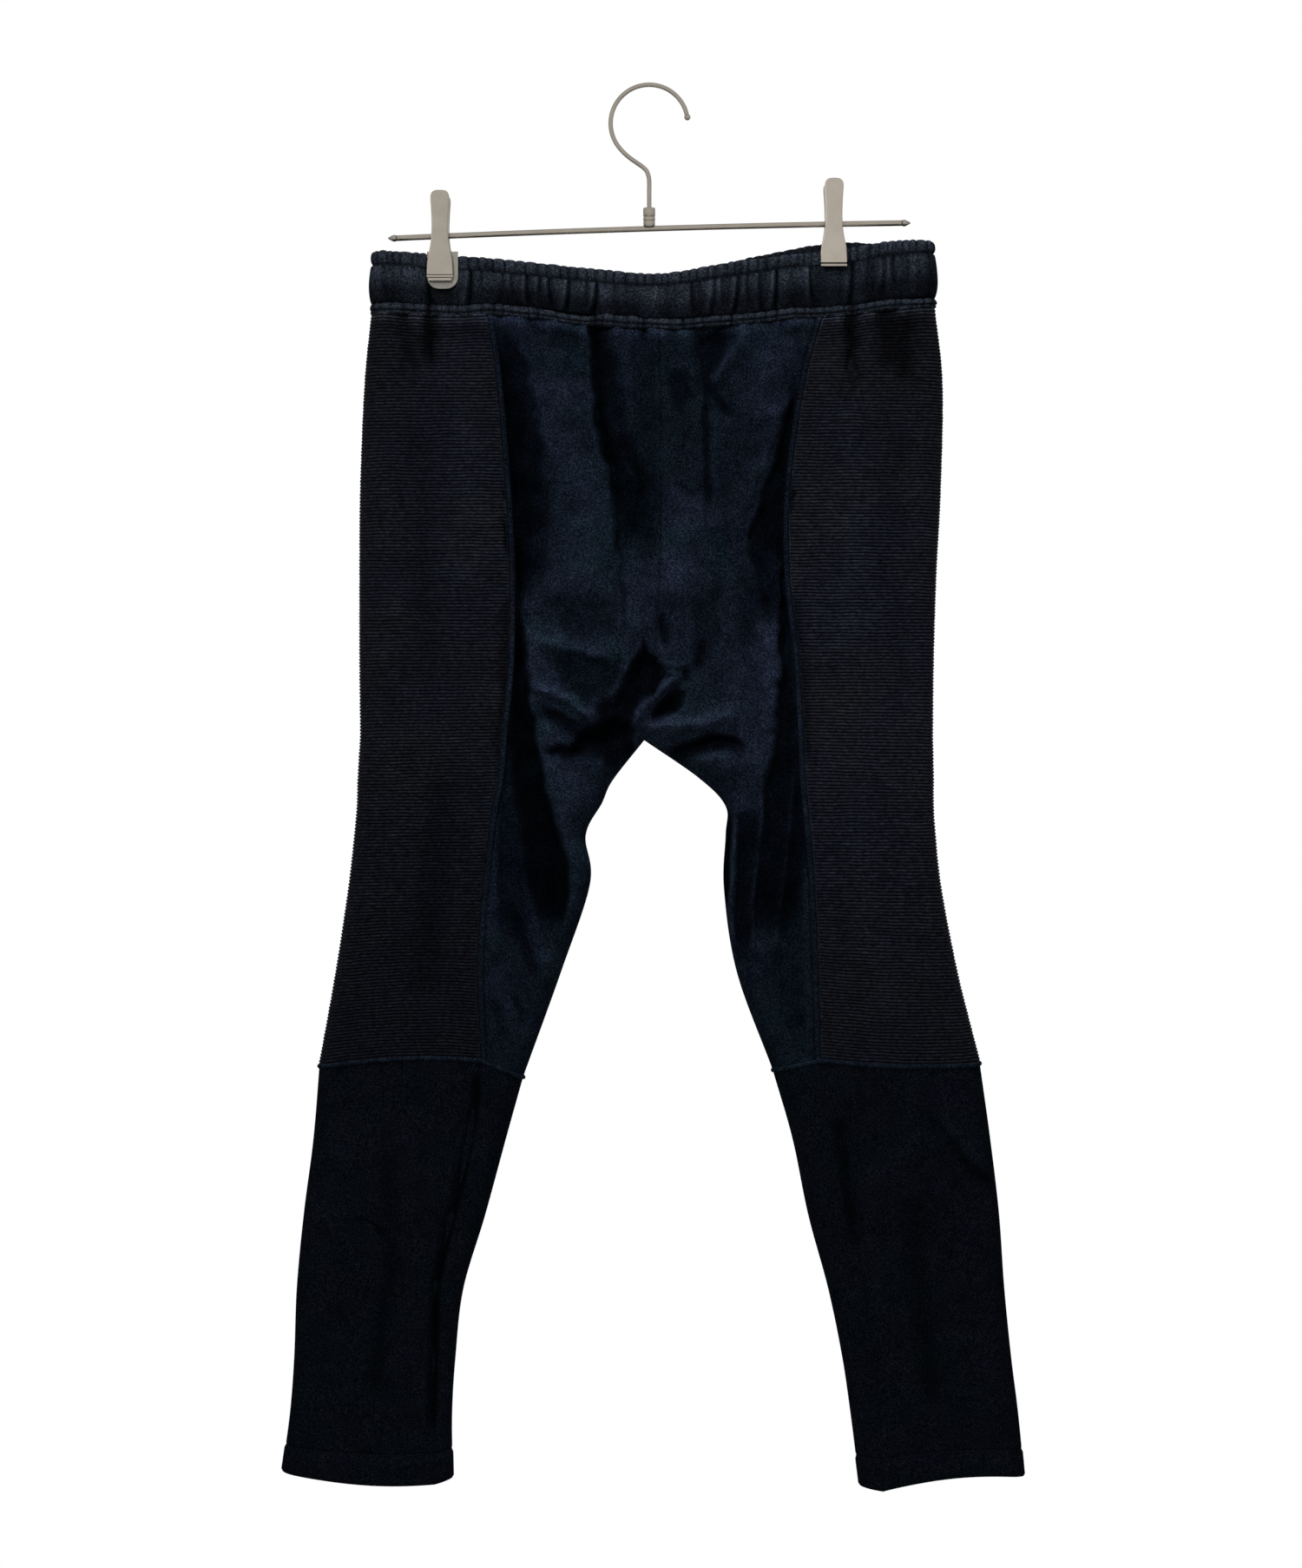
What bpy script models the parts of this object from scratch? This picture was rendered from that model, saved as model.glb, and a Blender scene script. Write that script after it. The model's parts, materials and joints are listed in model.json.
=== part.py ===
"""Biker sweatpants hung flat from a two-clip metal hanger.

The cloth is a set of thin walls: a gathered waistband with a frilled heading, a narrow seam band under it,
plain centre panels with a centre seam on both sides, horizontally ribbed side panels that wrap round the
outer edge from waist to knee, a corded knee seam, and two-piece lower legs with a turned hem. The waist and
both hems are open.

X runs to the right and Z up, as seen from the side shown, which faces -Y. Left and right are as seen from
there. The origin is the point where the hook hangs on its rail. Tables and sizes are in millimetres.
"""

import math
from collections import namedtuple

import bmesh
import bpy
from mathutils import Vector

MM = 0.001

# Cloth
WALL = 1.8
WAISTBAND_WALL = 3.0
HEM_WALL = 3.3
HEM_HEIGHT = 19.0
SEAM_GAP = 0.3
RIB_PITCH = 2.4
RIB_RISE = 0.7
SEAM_MARGIN = 3.2
WAIST_DEPTH = 13.5
GATHER_PITCH = 9.2
HEADING_BULGE = 1.5
HEADING_GATHER = 1.1
CASING_BULGE = 3.4
CASING_GATHERS = (0.2, 1.5, 0.5, 1.9, 0.3, 1.1, 0.2, 1.7, 0.9, 0.3, 1.3)
BAND_BULGE = 1.3
WELT_HEIGHT = 3.4
WELT_RISE = 1.7
WELT_CLEARANCE = 0.5

# Hanger
WIRE = 4.2
HOOK_RADIUS = 28.0
HOOK_TIP_ANGLE = 12
HOOK_FOOT_ANGLE = 222
# Below the round of the hook the wire runs through these points to its straight stem
HOOK_BEND = [(-17.4, -48.2), (-13.0, -51.8), (-8.4, -55.0), (-4.6, -57.7), (-2.0, -60.4), (-0.6, -63.8), (0.0, -68.0)]
FERRULE_TOP_Z = -88.0
FERRULE_DIAMETER = 8.8
BAR_LENGTH = 380.0
BAR_DIAMETER = 3.7
BAR_Z = -102.4
BAR_TILT = 0.030
BAR_BOW = 1.5
CLIP_X = {"l": -151.5, "r": 133.7}
CLIP_HALF_DEPTH = 4.6
CLIP_SHEET = 1.1
CLIP_PINCH_WIDTH = 24.0
PINCH_REACH = 60.0
JAW = 8.5
PAD_FACE = 5.6
LINER_FACE = 6.0
LINER_SHEET = 0.8
LINER_SHIFT = 1.5
TOUCH = 0.3

Waist = namedtuple("Waist", "x top stitch casing_foot band_foot back_rise")
WAIST = [
    Waist(-201.0, -120.0, -129.5, -158.0, -163.8, 0.0),
    Waist(-158.0, -121.8, -130.9, -158.8, -165.0, 0.0),
    Waist(-95.0, -127.9, -136.9, -160.4, -166.4, 0.0),
    Waist(-38.0, -133.6, -142.8, -167.6, -173.2, 0.0),
    Waist(7.0, -136.9, -145.0, -170.1, -175.6, 0.5),
    Waist(55.0, -129.4, -139.0, -167.6, -173.2, 3.4),
    Waist(116.0, -121.6, -130.0, -161.0, -166.6, 7.2),
    Waist(146.0, -117.2, -126.4, -158.7, -163.9, 5.2),
    Waist(185.0, -112.9, -122.2, -155.2, -160.4, 0.6),
    Waist(206.5, -112.5, -121.0, -153.5, -158.4, 0.0),
]

# One row of a leg: its outer edge, the seam between its two pieces, and its inner edge. Down to the fork the
# inner edge is the centre seam. bow lifts the middle of the row, and depth is half the tube's thickness.
Row = namedtuple("Row", "name outer_x outer_z seam_x seam_z inner_x inner_z bow depth")
LEFT_ROWS = [
    Row("waist", -201.0, -163.8, -117.2, -166.0, 6.9, -175.6, 0.0, 13.5),
    Row("hip", -206.0, -214.8, -110.3, -214.8, 8.2, -221.0, 0.0, 16.5),
    Row("seat_top", -209.2, -290.4, -104.0, -290.4, 8.2, -296.7, 0.0, 18.0),
    Row("seat", -209.8, -353.4, -100.8, -353.4, 6.9, -366.0, 0.0, 18.5),
    Row("rise", -209.8, -416.4, -101.4, -416.4, 3.2, -432.2, 0.0, 18.0),
    Row("fork", -209.2, -470.0, -106.5, -468.7, -3.6, -473.6, 0.0, 17.0),
    Row("thigh_top", -211.1, -501.5, -109.0, -499.6, -26.5, -502.7, 0.0, 16.5),
    Row("thigh_upper", -211.7, -521.6, -112.8, -520.4, -34.2, -519.1, 0.0, 16.5),
    Row("thigh", -213.6, -542.4, -115.9, -541.2, -46.0, -542.4, 0.0, 16.0),
    Row("thigh_low", -218.0, -581.5, -120.3, -580.2, -42.8, -577.1, 0.5, 15.5),
    Row("knee_top", -227.4, -643.2, -124.1, -640.1, -63.4, -640.1, 2.0, 14.5),
    Row("knee", -239.4, -710.0, -121.6, -705.0, -91.4, -717.6, 3.8, 14.0),
    Row("calf_top", -243.8, -762.9, -127.3, -762.9, -104.0, -762.9, 1.0, 13.5),
    Row("calf", -250.7, -816.5, -140.5, -817.7, -119.1, -818.4, 0.0, 13.0),
    Row("shin", -255.8, -870.0, -152.5, -871.3, -134.8, -871.3, 0.0, 12.0),
    Row("ankle_top", -257.7, -920.4, -153.7, -920.4, -140.5, -920.4, 0.0, 11.5),
    Row("ankle", -260.8, -961.4, -155.0, -963.3, -143.0, -963.3, -1.5, 11.0),
    Row("hem", -266.5, -1003.0, -155.0, -1011.8, -142.4, -1008.0, -4.5, 10.5),
]
RIGHT_ROWS = [
    Row("waist", 206.5, -158.4, 126.0, -166.0, 6.9, -175.6, 0.0, 13.5),
    Row("hip", 212.3, -214.8, 112.8, -214.8, 8.2, -221.0, 0.0, 16.5),
    Row("seat_top", 211.1, -290.4, 102.1, -290.4, 8.2, -296.7, 0.0, 18.0),
    Row("seat", 207.9, -353.4, 101.4, -353.4, 6.9, -366.0, 0.0, 18.5),
    Row("rise", 206.0, -416.4, 108.4, -416.4, 3.2, -432.2, 0.0, 18.0),
    Row("fork", 205.4, -470.0, 111.5, -468.7, -3.6, -473.6, 0.0, 17.0),
    Row("thigh_top", 206.0, -501.5, 112.8, -499.6, 36.6, -501.5, 0.0, 16.5),
    Row("thigh_upper", 206.0, -520.4, 114.7, -520.4, 55.4, -521.6, 0.0, 16.5),
    Row("thigh", 207.3, -541.2, 116.6, -541.2, 55.4, -542.4, 0.0, 16.0),
    Row("thigh_low", 211.7, -581.5, 119.7, -580.2, 54.2, -581.5, 0.0, 15.5),
    Row("knee_top", 223.7, -643.2, 122.2, -640.1, 63.6, -642.0, -1.0, 14.5),
    Row("knee", 240.0, -708.1, 124.1, -705.0, 89.5, -712.5, -2.8, 14.0),
    Row("calf_top", 247.6, -762.9, 138.6, -762.9, 104.0, -762.9, -0.5, 13.5),
    Row("calf", 253.9, -816.5, 145.5, -817.7, 115.3, -817.7, 0.0, 13.0),
    Row("shin", 257.7, -870.0, 155.0, -871.3, 129.8, -871.3, 0.0, 12.0),
    Row("ankle_top", 262.7, -920.4, 161.9, -920.4, 139.9, -920.4, 0.0, 11.5),
    Row("ankle", 267.8, -961.4, 166.3, -963.3, 146.2, -963.3, 1.5, 11.0),
    Row("hem", 272.2, -1006.7, 168.8, -1016.8, 152.5, -1013.7, 4.2, 10.5),
]
LEGS = {"l": LEFT_ROWS, "r": RIGHT_ROWS}
ROW_AT = {row.name: number for number, row in enumerate(LEFT_ROWS)}
FORK, KNEE, HEM = ROW_AT["fork"], ROW_AT["knee"], ROW_AT["hem"]

# The largest folds. rise is how far the cloth stands out along the path, and is negative in a trough; width
# is the distance from the path at which the fold has nearly died away.
Fold = namedtuple("Fold", "name rise width path")
FRONT_FOLDS = [
    Fold("left side valley", -7.0, 9.0,
         [(-105, -185), (-96, -225), (-92, -290), (-93, -400), (-90, -465), (-70, -590)]),
    Fold("left wide hollow", -4.0, 19.0, [(-96, -205), (-88, -265), (-88, -335)]),
    Fold("left bulge", 4.5, 24.0, [(-88, -185), (-66, -250), (-50, -330), (-48, -400)]),
    Fold("left of centre", -6.0, 10.0, [(-37, -172), (-36, -220), (-27, -290), (-15, -380)]),
    Fold("centre hollow", -3.5, 13.0, [(-22, -262), (-12, -305), (-2, -332)]),
    Fold("centre swell", 4.0, 28.0, [(25, -300), (23, -350), (14, -405)]),
    Fold("right waist hollow", -4.5, 15.0, [(64, -180), (46, -208), (41, -245)]),
    Fold("right bulge", 3.5, 24.0, [(82, -190), (60, -260), (44, -330)]),
    Fold("right side valley", -6.5, 9.0,
         [(107, -190), (97, -265), (91, -315), (98, -380), (101, -450), (92, -590)]),
    Fold("fork hollow", -8.0, 10.0, [(4, -415), (1, -445), (-6, -470)]),
    Fold("left fork crease", 4.5, 8.0, [(-86, -436), (-60, -447), (-30, -466)]),
    Fold("left fork trough", -5.0, 9.0, [(-68, -480), (-36, -477), (-12, -466)]),
    Fold("right fork fold", 4.5, 9.0, [(-4, -468), (30, -470), (70, -476)]),
    Fold("right thigh trough", -4.5, 8.0, [(26, -486), (54, -482), (82, -490)]),
    Fold("right inner ridge", 4.0, 8.0, [(72, -505), (82, -545), (76, -605)]),
]
BACK_FOLDS = [
    Fold("back left valley", -6.0, 10.0, [(-104, -190), (-93, -290), (-92, -420), (-74, -590)]),
    Fold("back left bulge", 4.5, 26.0, [(-80, -200), (-56, -300), (-50, -400)]),
    Fold("back right valley", -6.0, 10.0, [(106, -190), (96, -300), (98, -430), (90, -590)]),
    Fold("back right bulge", 4.5, 26.0, [(82, -200), (62, -300), (56, -400)]),
    Fold("back fork hollow", -6.0, 12.0, [(5, -400), (0, -440), (-4, -468)]),
    Fold("back left crease", 4.0, 9.0, [(-84, -450), (-50, -456), (-24, -470)]),
    Fold("back right crease", 4.0, 9.0, [(22, -468), (52, -458), (86, -452)]),
]
FOLD_FADE = 26.0

CENTRE_FRONT_COLUMNS = (0.0, 0.11, 0.24, 0.42, 0.6, 0.76, 0.89, 1.0)
CENTRE_BACK_COLUMNS = (0.0, 0.14, 0.36, 0.6, 0.84, 1.0)
THIGH_STEPS = (0, 0.5, 1, 1.5, 2, 2.5, 3, 4, 4.5, 4.75, 4.93, 5, 5.4, 6, 7, 8, 9, 9.5, 10, 11)
CALF_STEPS = (11, 12, 13, 14, 15, 16)
CALF_INNER_COLUMNS = (-1.0, -0.64, -0.32, 0.0, 0.32, 0.64, 1.0)
WRAP_TURN = math.radians(58)


# ---------------------------------------------------------------- helpers


def material(name, colour, roughness, metallic=0.0):
    found = bpy.data.materials.get(name)
    if found:
        return found
    made = bpy.data.materials.new(name)
    made.use_nodes = True
    shader = made.node_tree.nodes["Principled BSDF"]
    shader.inputs["Base Color"].default_value = (*colour, 1.0)
    shader.inputs["Roughness"].default_value = roughness
    shader.inputs["Metallic"].default_value = metallic
    return made


def fleece():
    return material("black_fleece", (0.012, 0.015, 0.022), 0.95)


def rib_knit():
    return material("charcoal_rib", (0.013, 0.013, 0.016), 0.95)


def steel():
    return material("satin_nickel", (0.45, 0.41, 0.36), 0.32, 1.0)


def soft_pad():
    return material("grey_pad", (0.36, 0.35, 0.31), 0.6)


def place(name, bm, finish, smooth_angle=40):
    """Makes an object of a closed bmesh whose points are in millimetres."""
    bmesh.ops.scale(bm, vec=(MM, MM, MM), verts=bm.verts)
    bmesh.ops.recalc_face_normals(bm, faces=bm.faces)
    mesh = bpy.data.meshes.new(name)
    bm.to_mesh(mesh)
    bm.free()
    mesh.shade_smooth()
    mesh.set_sharp_from_angle(angle=math.radians(smooth_angle))
    mesh.materials.append(finish)
    made = bpy.data.objects.new(name, mesh)
    bpy.context.scene.collection.objects.link(made)
    return made


def smoothstep(t):
    t = min(max(t, 0.0), 1.0)
    return t * t * (3 - 2 * t)


def mix(a, b, t):
    return a + (b - a) * t


def add_grid(bm, rows):
    return [[bm.verts.new(p) for p in row] for row in rows]


def skin(bm, rows, ring=False):
    """Faces between neighbouring rows of points; ring joins each row's end to its start."""
    for upper, lower in zip(rows, rows[1:]):
        count = len(upper)
        for i in range(count if ring else count - 1):
            j = (i + 1) % count
            bm.faces.new((upper[i], upper[j], lower[j], lower[i]))


def zip_chains(bm, a, b):
    """Triangles between two chains of points that run side by side and may differ in number."""
    i = j = 0
    while i < len(a) - 1 or j < len(b) - 1:
        next_a = (i + 1) / (len(a) - 1)
        next_b = (j + 1) / (len(b) - 1)
        if j == len(b) - 1 or (i < len(a) - 1 and next_a <= next_b):
            bm.faces.new((a[i], a[i + 1], b[j]))
            i += 1
        else:
            bm.faces.new((a[i], b[j + 1], b[j]))
            j += 1


def table_value(table, x, field):
    """A column of a table read at x, on a smooth curve through its entries."""
    if x <= table[0].x:
        return getattr(table[0], field)
    if x >= table[-1].x:
        return getattr(table[-1], field)
    i = max(k for k, entry in enumerate(table[:-1]) if entry.x <= x)
    near = [table[max(i - 1, 0)], table[i], table[i + 1], table[min(i + 2, len(table) - 1)]]
    x0, x1, x2, x3 = (entry.x for entry in near)
    v0, v1, v2, v3 = (getattr(entry, field) for entry in near)
    span = x2 - x1
    m1 = (v2 - v0) / (x2 - x0) * span
    m2 = (v3 - v1) / (x3 - x1) * span
    t = (x - x1) / span
    t2, t3 = t * t, t * t * t
    return (2 * t3 - 3 * t2 + 1) * v1 + (t3 - 2 * t2 + t) * m1 + (3 * t2 - 2 * t3) * v2 + (t3 - t2) * m2


def along_leg(rows, s, field):
    """A column of a leg's rows at the fractional row number s, with a corner at the fork and the knee."""
    i = min(int(s), len(rows) - 2)
    v1, v2 = getattr(rows[i], field), getattr(rows[i + 1], field)
    v0 = getattr(rows[i - 1], field) if i not in (0, FORK, KNEE) else 2 * v1 - v2
    last = i + 1 in (FORK, KNEE, len(rows) - 1)
    v3 = 2 * v2 - v1 if last else getattr(rows[i + 2], field)
    t = s - i
    return 0.5 * (
        2 * v1 + (v2 - v0) * t
        + (2 * v0 - 5 * v1 + 4 * v2 - v3) * t * t
        + (3 * v1 - v0 - 3 * v2 + v3) * t ** 3
    )


# ---------------------------------------------------------------- the hanging shape


def edge_round(distance, radius):
    """Share of the full depth at this distance from an edge fold: a quarter circle, then flat."""
    t = min(max(distance / radius, 0.0), 1.0)
    return math.sqrt(1 - (1 - t) ** 2)


def pinch(x, z):
    """How strongly the clips press the two sides together: 1 in the jaws, 0 well away from them."""
    waist = table_value(WAIST, x, "band_foot")
    fade = 1 - smoothstep((waist - z) / PINCH_REACH)
    return fade * max(math.exp(-(((x - at) / CLIP_PINCH_WIDTH) ** 4)) for at in CLIP_X.values())


def half_depth(depth, x, z):
    return mix(depth, CLIP_HALF_DEPTH, pinch(x, z))


def fold_rise(folds, x, z):
    """The sum of the folds at a point, fading to nothing at the waist seam."""
    total = 0.0
    for fold in folds:
        best, where, run = 1e9, 0.0, 0.0
        lengths = [math.dist(a, b) for a, b in zip(fold.path, fold.path[1:])]
        for (ax, az), (bx, bz), length in zip(fold.path, fold.path[1:], lengths):
            t = ((x - ax) * (bx - ax) + (z - az) * (bz - az)) / length ** 2
            t = min(max(t, 0.0), 1.0)
            gap = math.hypot(x - mix(ax, bx, t), z - mix(az, bz, t))
            if gap < best:
                best, where = gap, run + t * length
            run += length
        ends = smoothstep(4 * where / run) * smoothstep(4 * (1 - where / run))
        total += fold.rise * ends * math.exp(-((best / fold.width) ** 2) * 2)
    below = table_value(WAIST, x, "band_foot") - z
    return total * smoothstep(below / FOLD_FADE)


class Leg:
    """The outer surface of one half of the trousers. s is the fractional row number down the leg."""

    def __init__(self, side):
        self.side = side
        self.rows = LEGS[side]
        self.facing = -1 if side == "l" else 1

    def at(self, s, field):
        return along_leg(self.rows, s, field)

    def corner(self, s, which):
        return Vector((self.at(s, which + "_x"), self.at(s, which + "_z")))

    def waist_shift(self, s, x):
        """Moves the rows next to the waist on to the curved foot of the seam band."""
        if s >= 1:
            return 0.0
        first = self.rows[0]
        a, b = (first.outer_x, first.outer_z), (first.seam_x, first.seam_z)
        if abs(x) < abs(first.seam_x) and (x < first.inner_x) == (self.side == "l"):
            a, b = b, (first.inner_x, first.inner_z)
        line = mix(a[1], b[1], (x - a[0]) / (b[0] - a[0]))
        return (1 - s) ** 2 * (table_value(WAIST, x, "band_foot") - line)

    def surface(self, s, x, z, from_outer, from_inner, front):
        z += self.waist_shift(s, x)
        depth = self.at(s, "depth")
        rounding = edge_round(from_outer, depth) * edge_round(from_inner, depth)
        fold = fold_rise(FRONT_FOLDS if front else BACK_FOLDS, x, z)
        y = rounding * (half_depth(depth, x, z) + fold)
        return Vector((x, -y if front else y, z))

    def side_point(self, s, arc):
        """A point of the piece that wraps round the outer edge; arc runs from it, positive to the front."""
        outer, seam = self.corner(s, "outer"), self.corner(s, "seam")
        width, depth = (seam - outer).length, self.at(s, "depth")
        reach = abs(arc)
        quarter = depth * math.pi / 2
        distance = depth * (1 - math.cos(reach / depth)) if reach < quarter else depth + reach - quarter
        share = distance / width
        x, z = outer.lerp(seam, share)
        z += self.at(s, "bow") * 4 * share * (1 - share)
        return self.surface(s, x, z, distance, self.inner_gap(s, x, z, width - distance), arc >= 0)

    def side_arc(self, s):
        """Arc from the outer edge to the seam."""
        depth = self.at(s, "depth")
        return (self.corner(s, "seam") - self.corner(s, "outer")).length + depth * (math.pi / 2 - 1)

    def inner_gap(self, s, x, z, beyond_seam):
        """Distance to the inner edge: along the row below the fork, and straight to the fork above it."""
        if s < FORK:
            fork = self.rows[FORK]
            return math.hypot(x - fork.inner_x, z - fork.inner_z)
        return beyond_seam + (self.corner(s, "inner") - self.corner(s, "seam")).length

    def centre_point(self, s, share, front):
        """A point of the piece between seam and inner edge; share is 0 at the seam and 1 at that edge."""
        seam, inner = self.corner(s, "seam"), self.corner(s, "inner")
        outer_width = (seam - self.corner(s, "outer")).length
        width, depth = (inner - seam).length, self.at(s, "depth")
        flat = width - depth
        arc = share * (flat + depth * math.pi / 2)
        turned = arc if arc < flat else flat + depth * math.sin((arc - flat) / depth)
        distance = mix(share * width, turned, smoothstep(s - FORK + 1))
        x, z = seam.lerp(inner, distance / width)
        gap = width - distance if s >= FORK else self.inner_gap(s, x, z, 0)
        return self.surface(s, x, z, outer_width + distance, gap, front)

    def inward(self, s):
        """The direction from the seam towards the inner edge."""
        run = (self.corner(s, "inner") - self.corner(s, "seam")).normalized()
        return Vector((run.x, 0, run.y))

    def side_normal(self, s, arc):
        reach = self.side_arc(s)
        return outward(self.side_point, s, arc, (-reach, reach)) * self.facing

    def centre_normal(self, s, share, front):
        def point(s, share):
            return self.centre_point(s, share, front)

        return outward(point, s, share, (0, 1)) * (self.facing if front else -self.facing)

    def seam_normal(self, s, front):
        """The normal that both pieces use where they meet at the seam."""
        arc = self.side_arc(s) * (1 if front else -1)
        return (self.side_normal(s, arc) + self.centre_normal(s, 0, front)).normalized()

    def inner_normal(self, s, front):
        """The normal at the inner edge, where the wall turns under at the fork and along the inseam."""
        if s == FORK:
            return Vector((0, 0, -1))
        if s > FORK:
            run = self.corner(min(s + 0.1, HEM), "inner") - self.corner(s - 0.1, "inner")
            return Vector((-run.y, 0, run.x)).normalized() * -self.facing
        both = sum((Leg(side).centre_normal(s, 1, front) for side in LEGS), Vector())
        both.x = 0
        return both.normalized()


def outward(function, s, t, limits):
    """Unit normal of the surface function(s, t), before its sign is settled."""
    step = (limits[1] - limits[0]) * 0.002
    s0, s1 = max(s - 0.03, 0), min(s + 0.03, HEM)
    t0, t1 = max(t - step, limits[0]), min(t + step, limits[1])
    down = function(s1, t) - function(s0, t)
    across = function(s, t1) - function(s, t0)
    normal = across.cross(down)
    if s == 0:
        normal.z = 0
    return normal.normalized()


def wall_points(sites, rises, walls):
    """Outer and inner points of a wall. sites holds a row of (point, normal) pairs for each rise and wall."""
    outer = [[point + normal * rise for point, normal in row] for row, rise in zip(sites, rises)]
    inner = [[point - normal * wall for point, normal in row] for row, wall in zip(sites, walls)]
    return outer, inner


def side_sites(leg, steps, columns_at):
    """Points and normals of the piece round the outer edge. Its seam columns stop half a seam gap short."""
    rows = []
    for s in steps:
        row = []
        reach = leg.side_arc(s)
        for arc in columns_at(s):
            point = leg.side_point(s, arc)
            if abs(arc) == reach:
                row.append((point - leg.inward(s) * SEAM_GAP / 2, leg.seam_normal(s, arc > 0)))
            else:
                row.append((point, leg.side_normal(s, arc)))
        rows.append(row)
    return rows


def centre_sites(leg, steps, shares, front):
    """The same for the piece from the seam to the inner edge."""
    rows = []
    for s in steps:
        row = []
        for share in shares:
            point = leg.centre_point(s, share, front)
            if share == 0:
                row.append((point + leg.inward(s) * SEAM_GAP / 2, leg.seam_normal(s, front)))
            elif share == 1:
                if s <= FORK:
                    point.x += SEAM_GAP / 2 * leg.facing
                if s >= FORK:
                    point.y += SEAM_GAP / 2 * (-1 if front else 1)
                row.append((point, leg.inner_normal(s, front)))
            else:
                row.append((point, leg.centre_normal(s, share, front)))
        rows.append(row)
    return rows


def clear_ends(sites, top=True, foot=True):
    """Moves the first and last rows half a seam gap away from their neighbours."""
    drop = Vector((0, 0, -SEAM_GAP / 2))
    if top:
        sites[0] = [(point + drop, normal) for point, normal in sites[0]]
    if foot:
        sites[-1] = [(point - drop, normal) for point, normal in sites[-1]]
    return sites


def close_wall(name, outer, inner, finish):
    """A closed solid from matching grids of outer and inner points."""
    bm = bmesh.new()
    outside, inside = add_grid(bm, outer), add_grid(bm, inner)
    skin(bm, outside)
    skin(bm, inside)
    for side in (0, -1):
        skin(bm, [[row[side] for row in outside], [row[side] for row in inside]])
        skin(bm, [outside[side], inside[side]])
    return place(name, bm, finish)


# ---------------------------------------------------------------- body panels


def centre_panel(side, front):
    leg = Leg(side)
    shares = CENTRE_FRONT_COLUMNS if front else CENTRE_BACK_COLUMNS
    sites = clear_ends(centre_sites(leg, THIGH_STEPS, shares, front))
    count = len(sites)
    face = "front" if front else "back"
    close_wall(f"{face}_centre_{side}", *wall_points(sites, [0.0] * count, [WALL] * count), fleece())


def rib_steps(leg):
    """Row numbers that are evenly spaced down the middle of the rib panel, two for each rib."""
    samples = [KNEE * i / 400 for i in range(401)]
    middles = [(leg.corner(s, "outer") + leg.corner(s, "seam")) / 2 for s in samples]
    lengths = [0.0]
    for a, b in zip(middles, middles[1:]):
        lengths.append(lengths[-1] + (b - a).length)
    count = 2 * round(lengths[-1] / RIB_PITCH)
    steps, k = [], 0
    for i in range(count + 1):
        wanted = lengths[-1] * i / count
        while k < len(lengths) - 2 and lengths[k + 1] < wanted:
            k += 1
        share = (wanted - lengths[k]) / (lengths[k + 1] - lengths[k])
        steps.append(mix(samples[k], samples[k + 1], share))
    return steps


def side_columns(leg, s):
    """Arcs of the columns of the piece round the outer edge, from the back seam to the front one."""
    reach, turn = leg.side_arc(s), leg.at(s, "depth") * WRAP_TURN
    return [-reach, SEAM_MARGIN - reach, -turn, 0.0, turn, reach - SEAM_MARGIN, reach]


def rib_panel(side):
    """The side panel: raised ribs outside, plain inside, and flat where it is sewn to the centre panels."""
    leg = Leg(side)
    fine = rib_steps(leg)
    bumps = [RIB_RISE * (i % 2) for i in range(len(fine))]
    bumps[-2] = 0.0
    ribbed = clear_ends(side_sites(leg, fine, lambda s: side_columns(leg, s)[1:-1]))
    whole = clear_ends(side_sites(leg, THIGH_STEPS, lambda s: side_columns(leg, s)))
    flat, wall = [0.0] * len(whole), [WALL] * len(whole)
    bm = bmesh.new()
    middle = add_grid(bm, wall_points(ribbed, bumps, bumps)[0])
    border = add_grid(bm, wall_points([[row[0], row[-1]] for row in whole], flat, flat)[0])
    inside = add_grid(bm, wall_points(whole, flat, wall)[1])
    skin(bm, middle)
    skin(bm, inside)
    for end in (0, -1):
        edge = [row[end] for row in border]
        zip_chains(bm, edge, [row[end] for row in middle])
        skin(bm, [edge, [row[end] for row in inside]])
        rim = [border[end][0], *middle[end], border[end][1]]
        skin(bm, [rim, inside[end]])
    place(f"rib_panel_{side}", bm, rib_knit())


# ---------------------------------------------------------------- lower legs


def row_above_hem(leg, height):
    """Row number at this height above the hem, measured down the outer edge."""
    last = leg.corner(HEM, "outer")
    before = leg.corner(HEM - 1, "outer")
    return HEM - height / (last - before).length


def calf_rows(leg):
    """Row numbers, outer rises and wall thicknesses down a lower leg, which is double at its turned hem."""
    stitch = row_above_hem(leg, HEM_HEIGHT)
    step = 0.02
    steps = [*CALF_STEPS, stitch - step, stitch, stitch + step, HEM]
    rises = [0.0] * len(CALF_STEPS) + [0.0, -0.5, 0.0, 0.2]
    walls = [WALL] * len(CALF_STEPS) + [WALL, WALL + 0.6, HEM_WALL, HEM_WALL]
    return steps, rises, walls


def calf_outer(side):
    leg = Leg(side)
    steps, rises, walls = calf_rows(leg)
    sites = clear_ends(side_sites(leg, steps, lambda s: side_columns(leg, s)), foot=False)
    close_wall(f"calf_outer_{side}", *wall_points(sites, rises, walls), fleece())


def calf_inner_sites(leg, steps):
    """From the back seam round the inner edge to the front seam."""
    rows = []
    for s in steps:
        row = []
        for t in CALF_INNER_COLUMNS:
            front, share = t > 0, 1 - abs(t)
            point = leg.centre_point(s, share, front)
            if share == 0:
                row.append((point + leg.inward(s) * SEAM_GAP / 2, leg.seam_normal(s, front)))
            elif share == 1:
                row.append((point, leg.inner_normal(s, front)))
            else:
                row.append((point, leg.centre_normal(s, share, front)))
        rows.append(row)
    return rows


def calf_inner(side):
    leg = Leg(side)
    steps, rises, walls = calf_rows(leg)
    sites = clear_ends(calf_inner_sites(leg, steps), foot=False)
    close_wall(f"calf_inner_{side}", *wall_points(sites, rises, walls), fleece())


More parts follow.
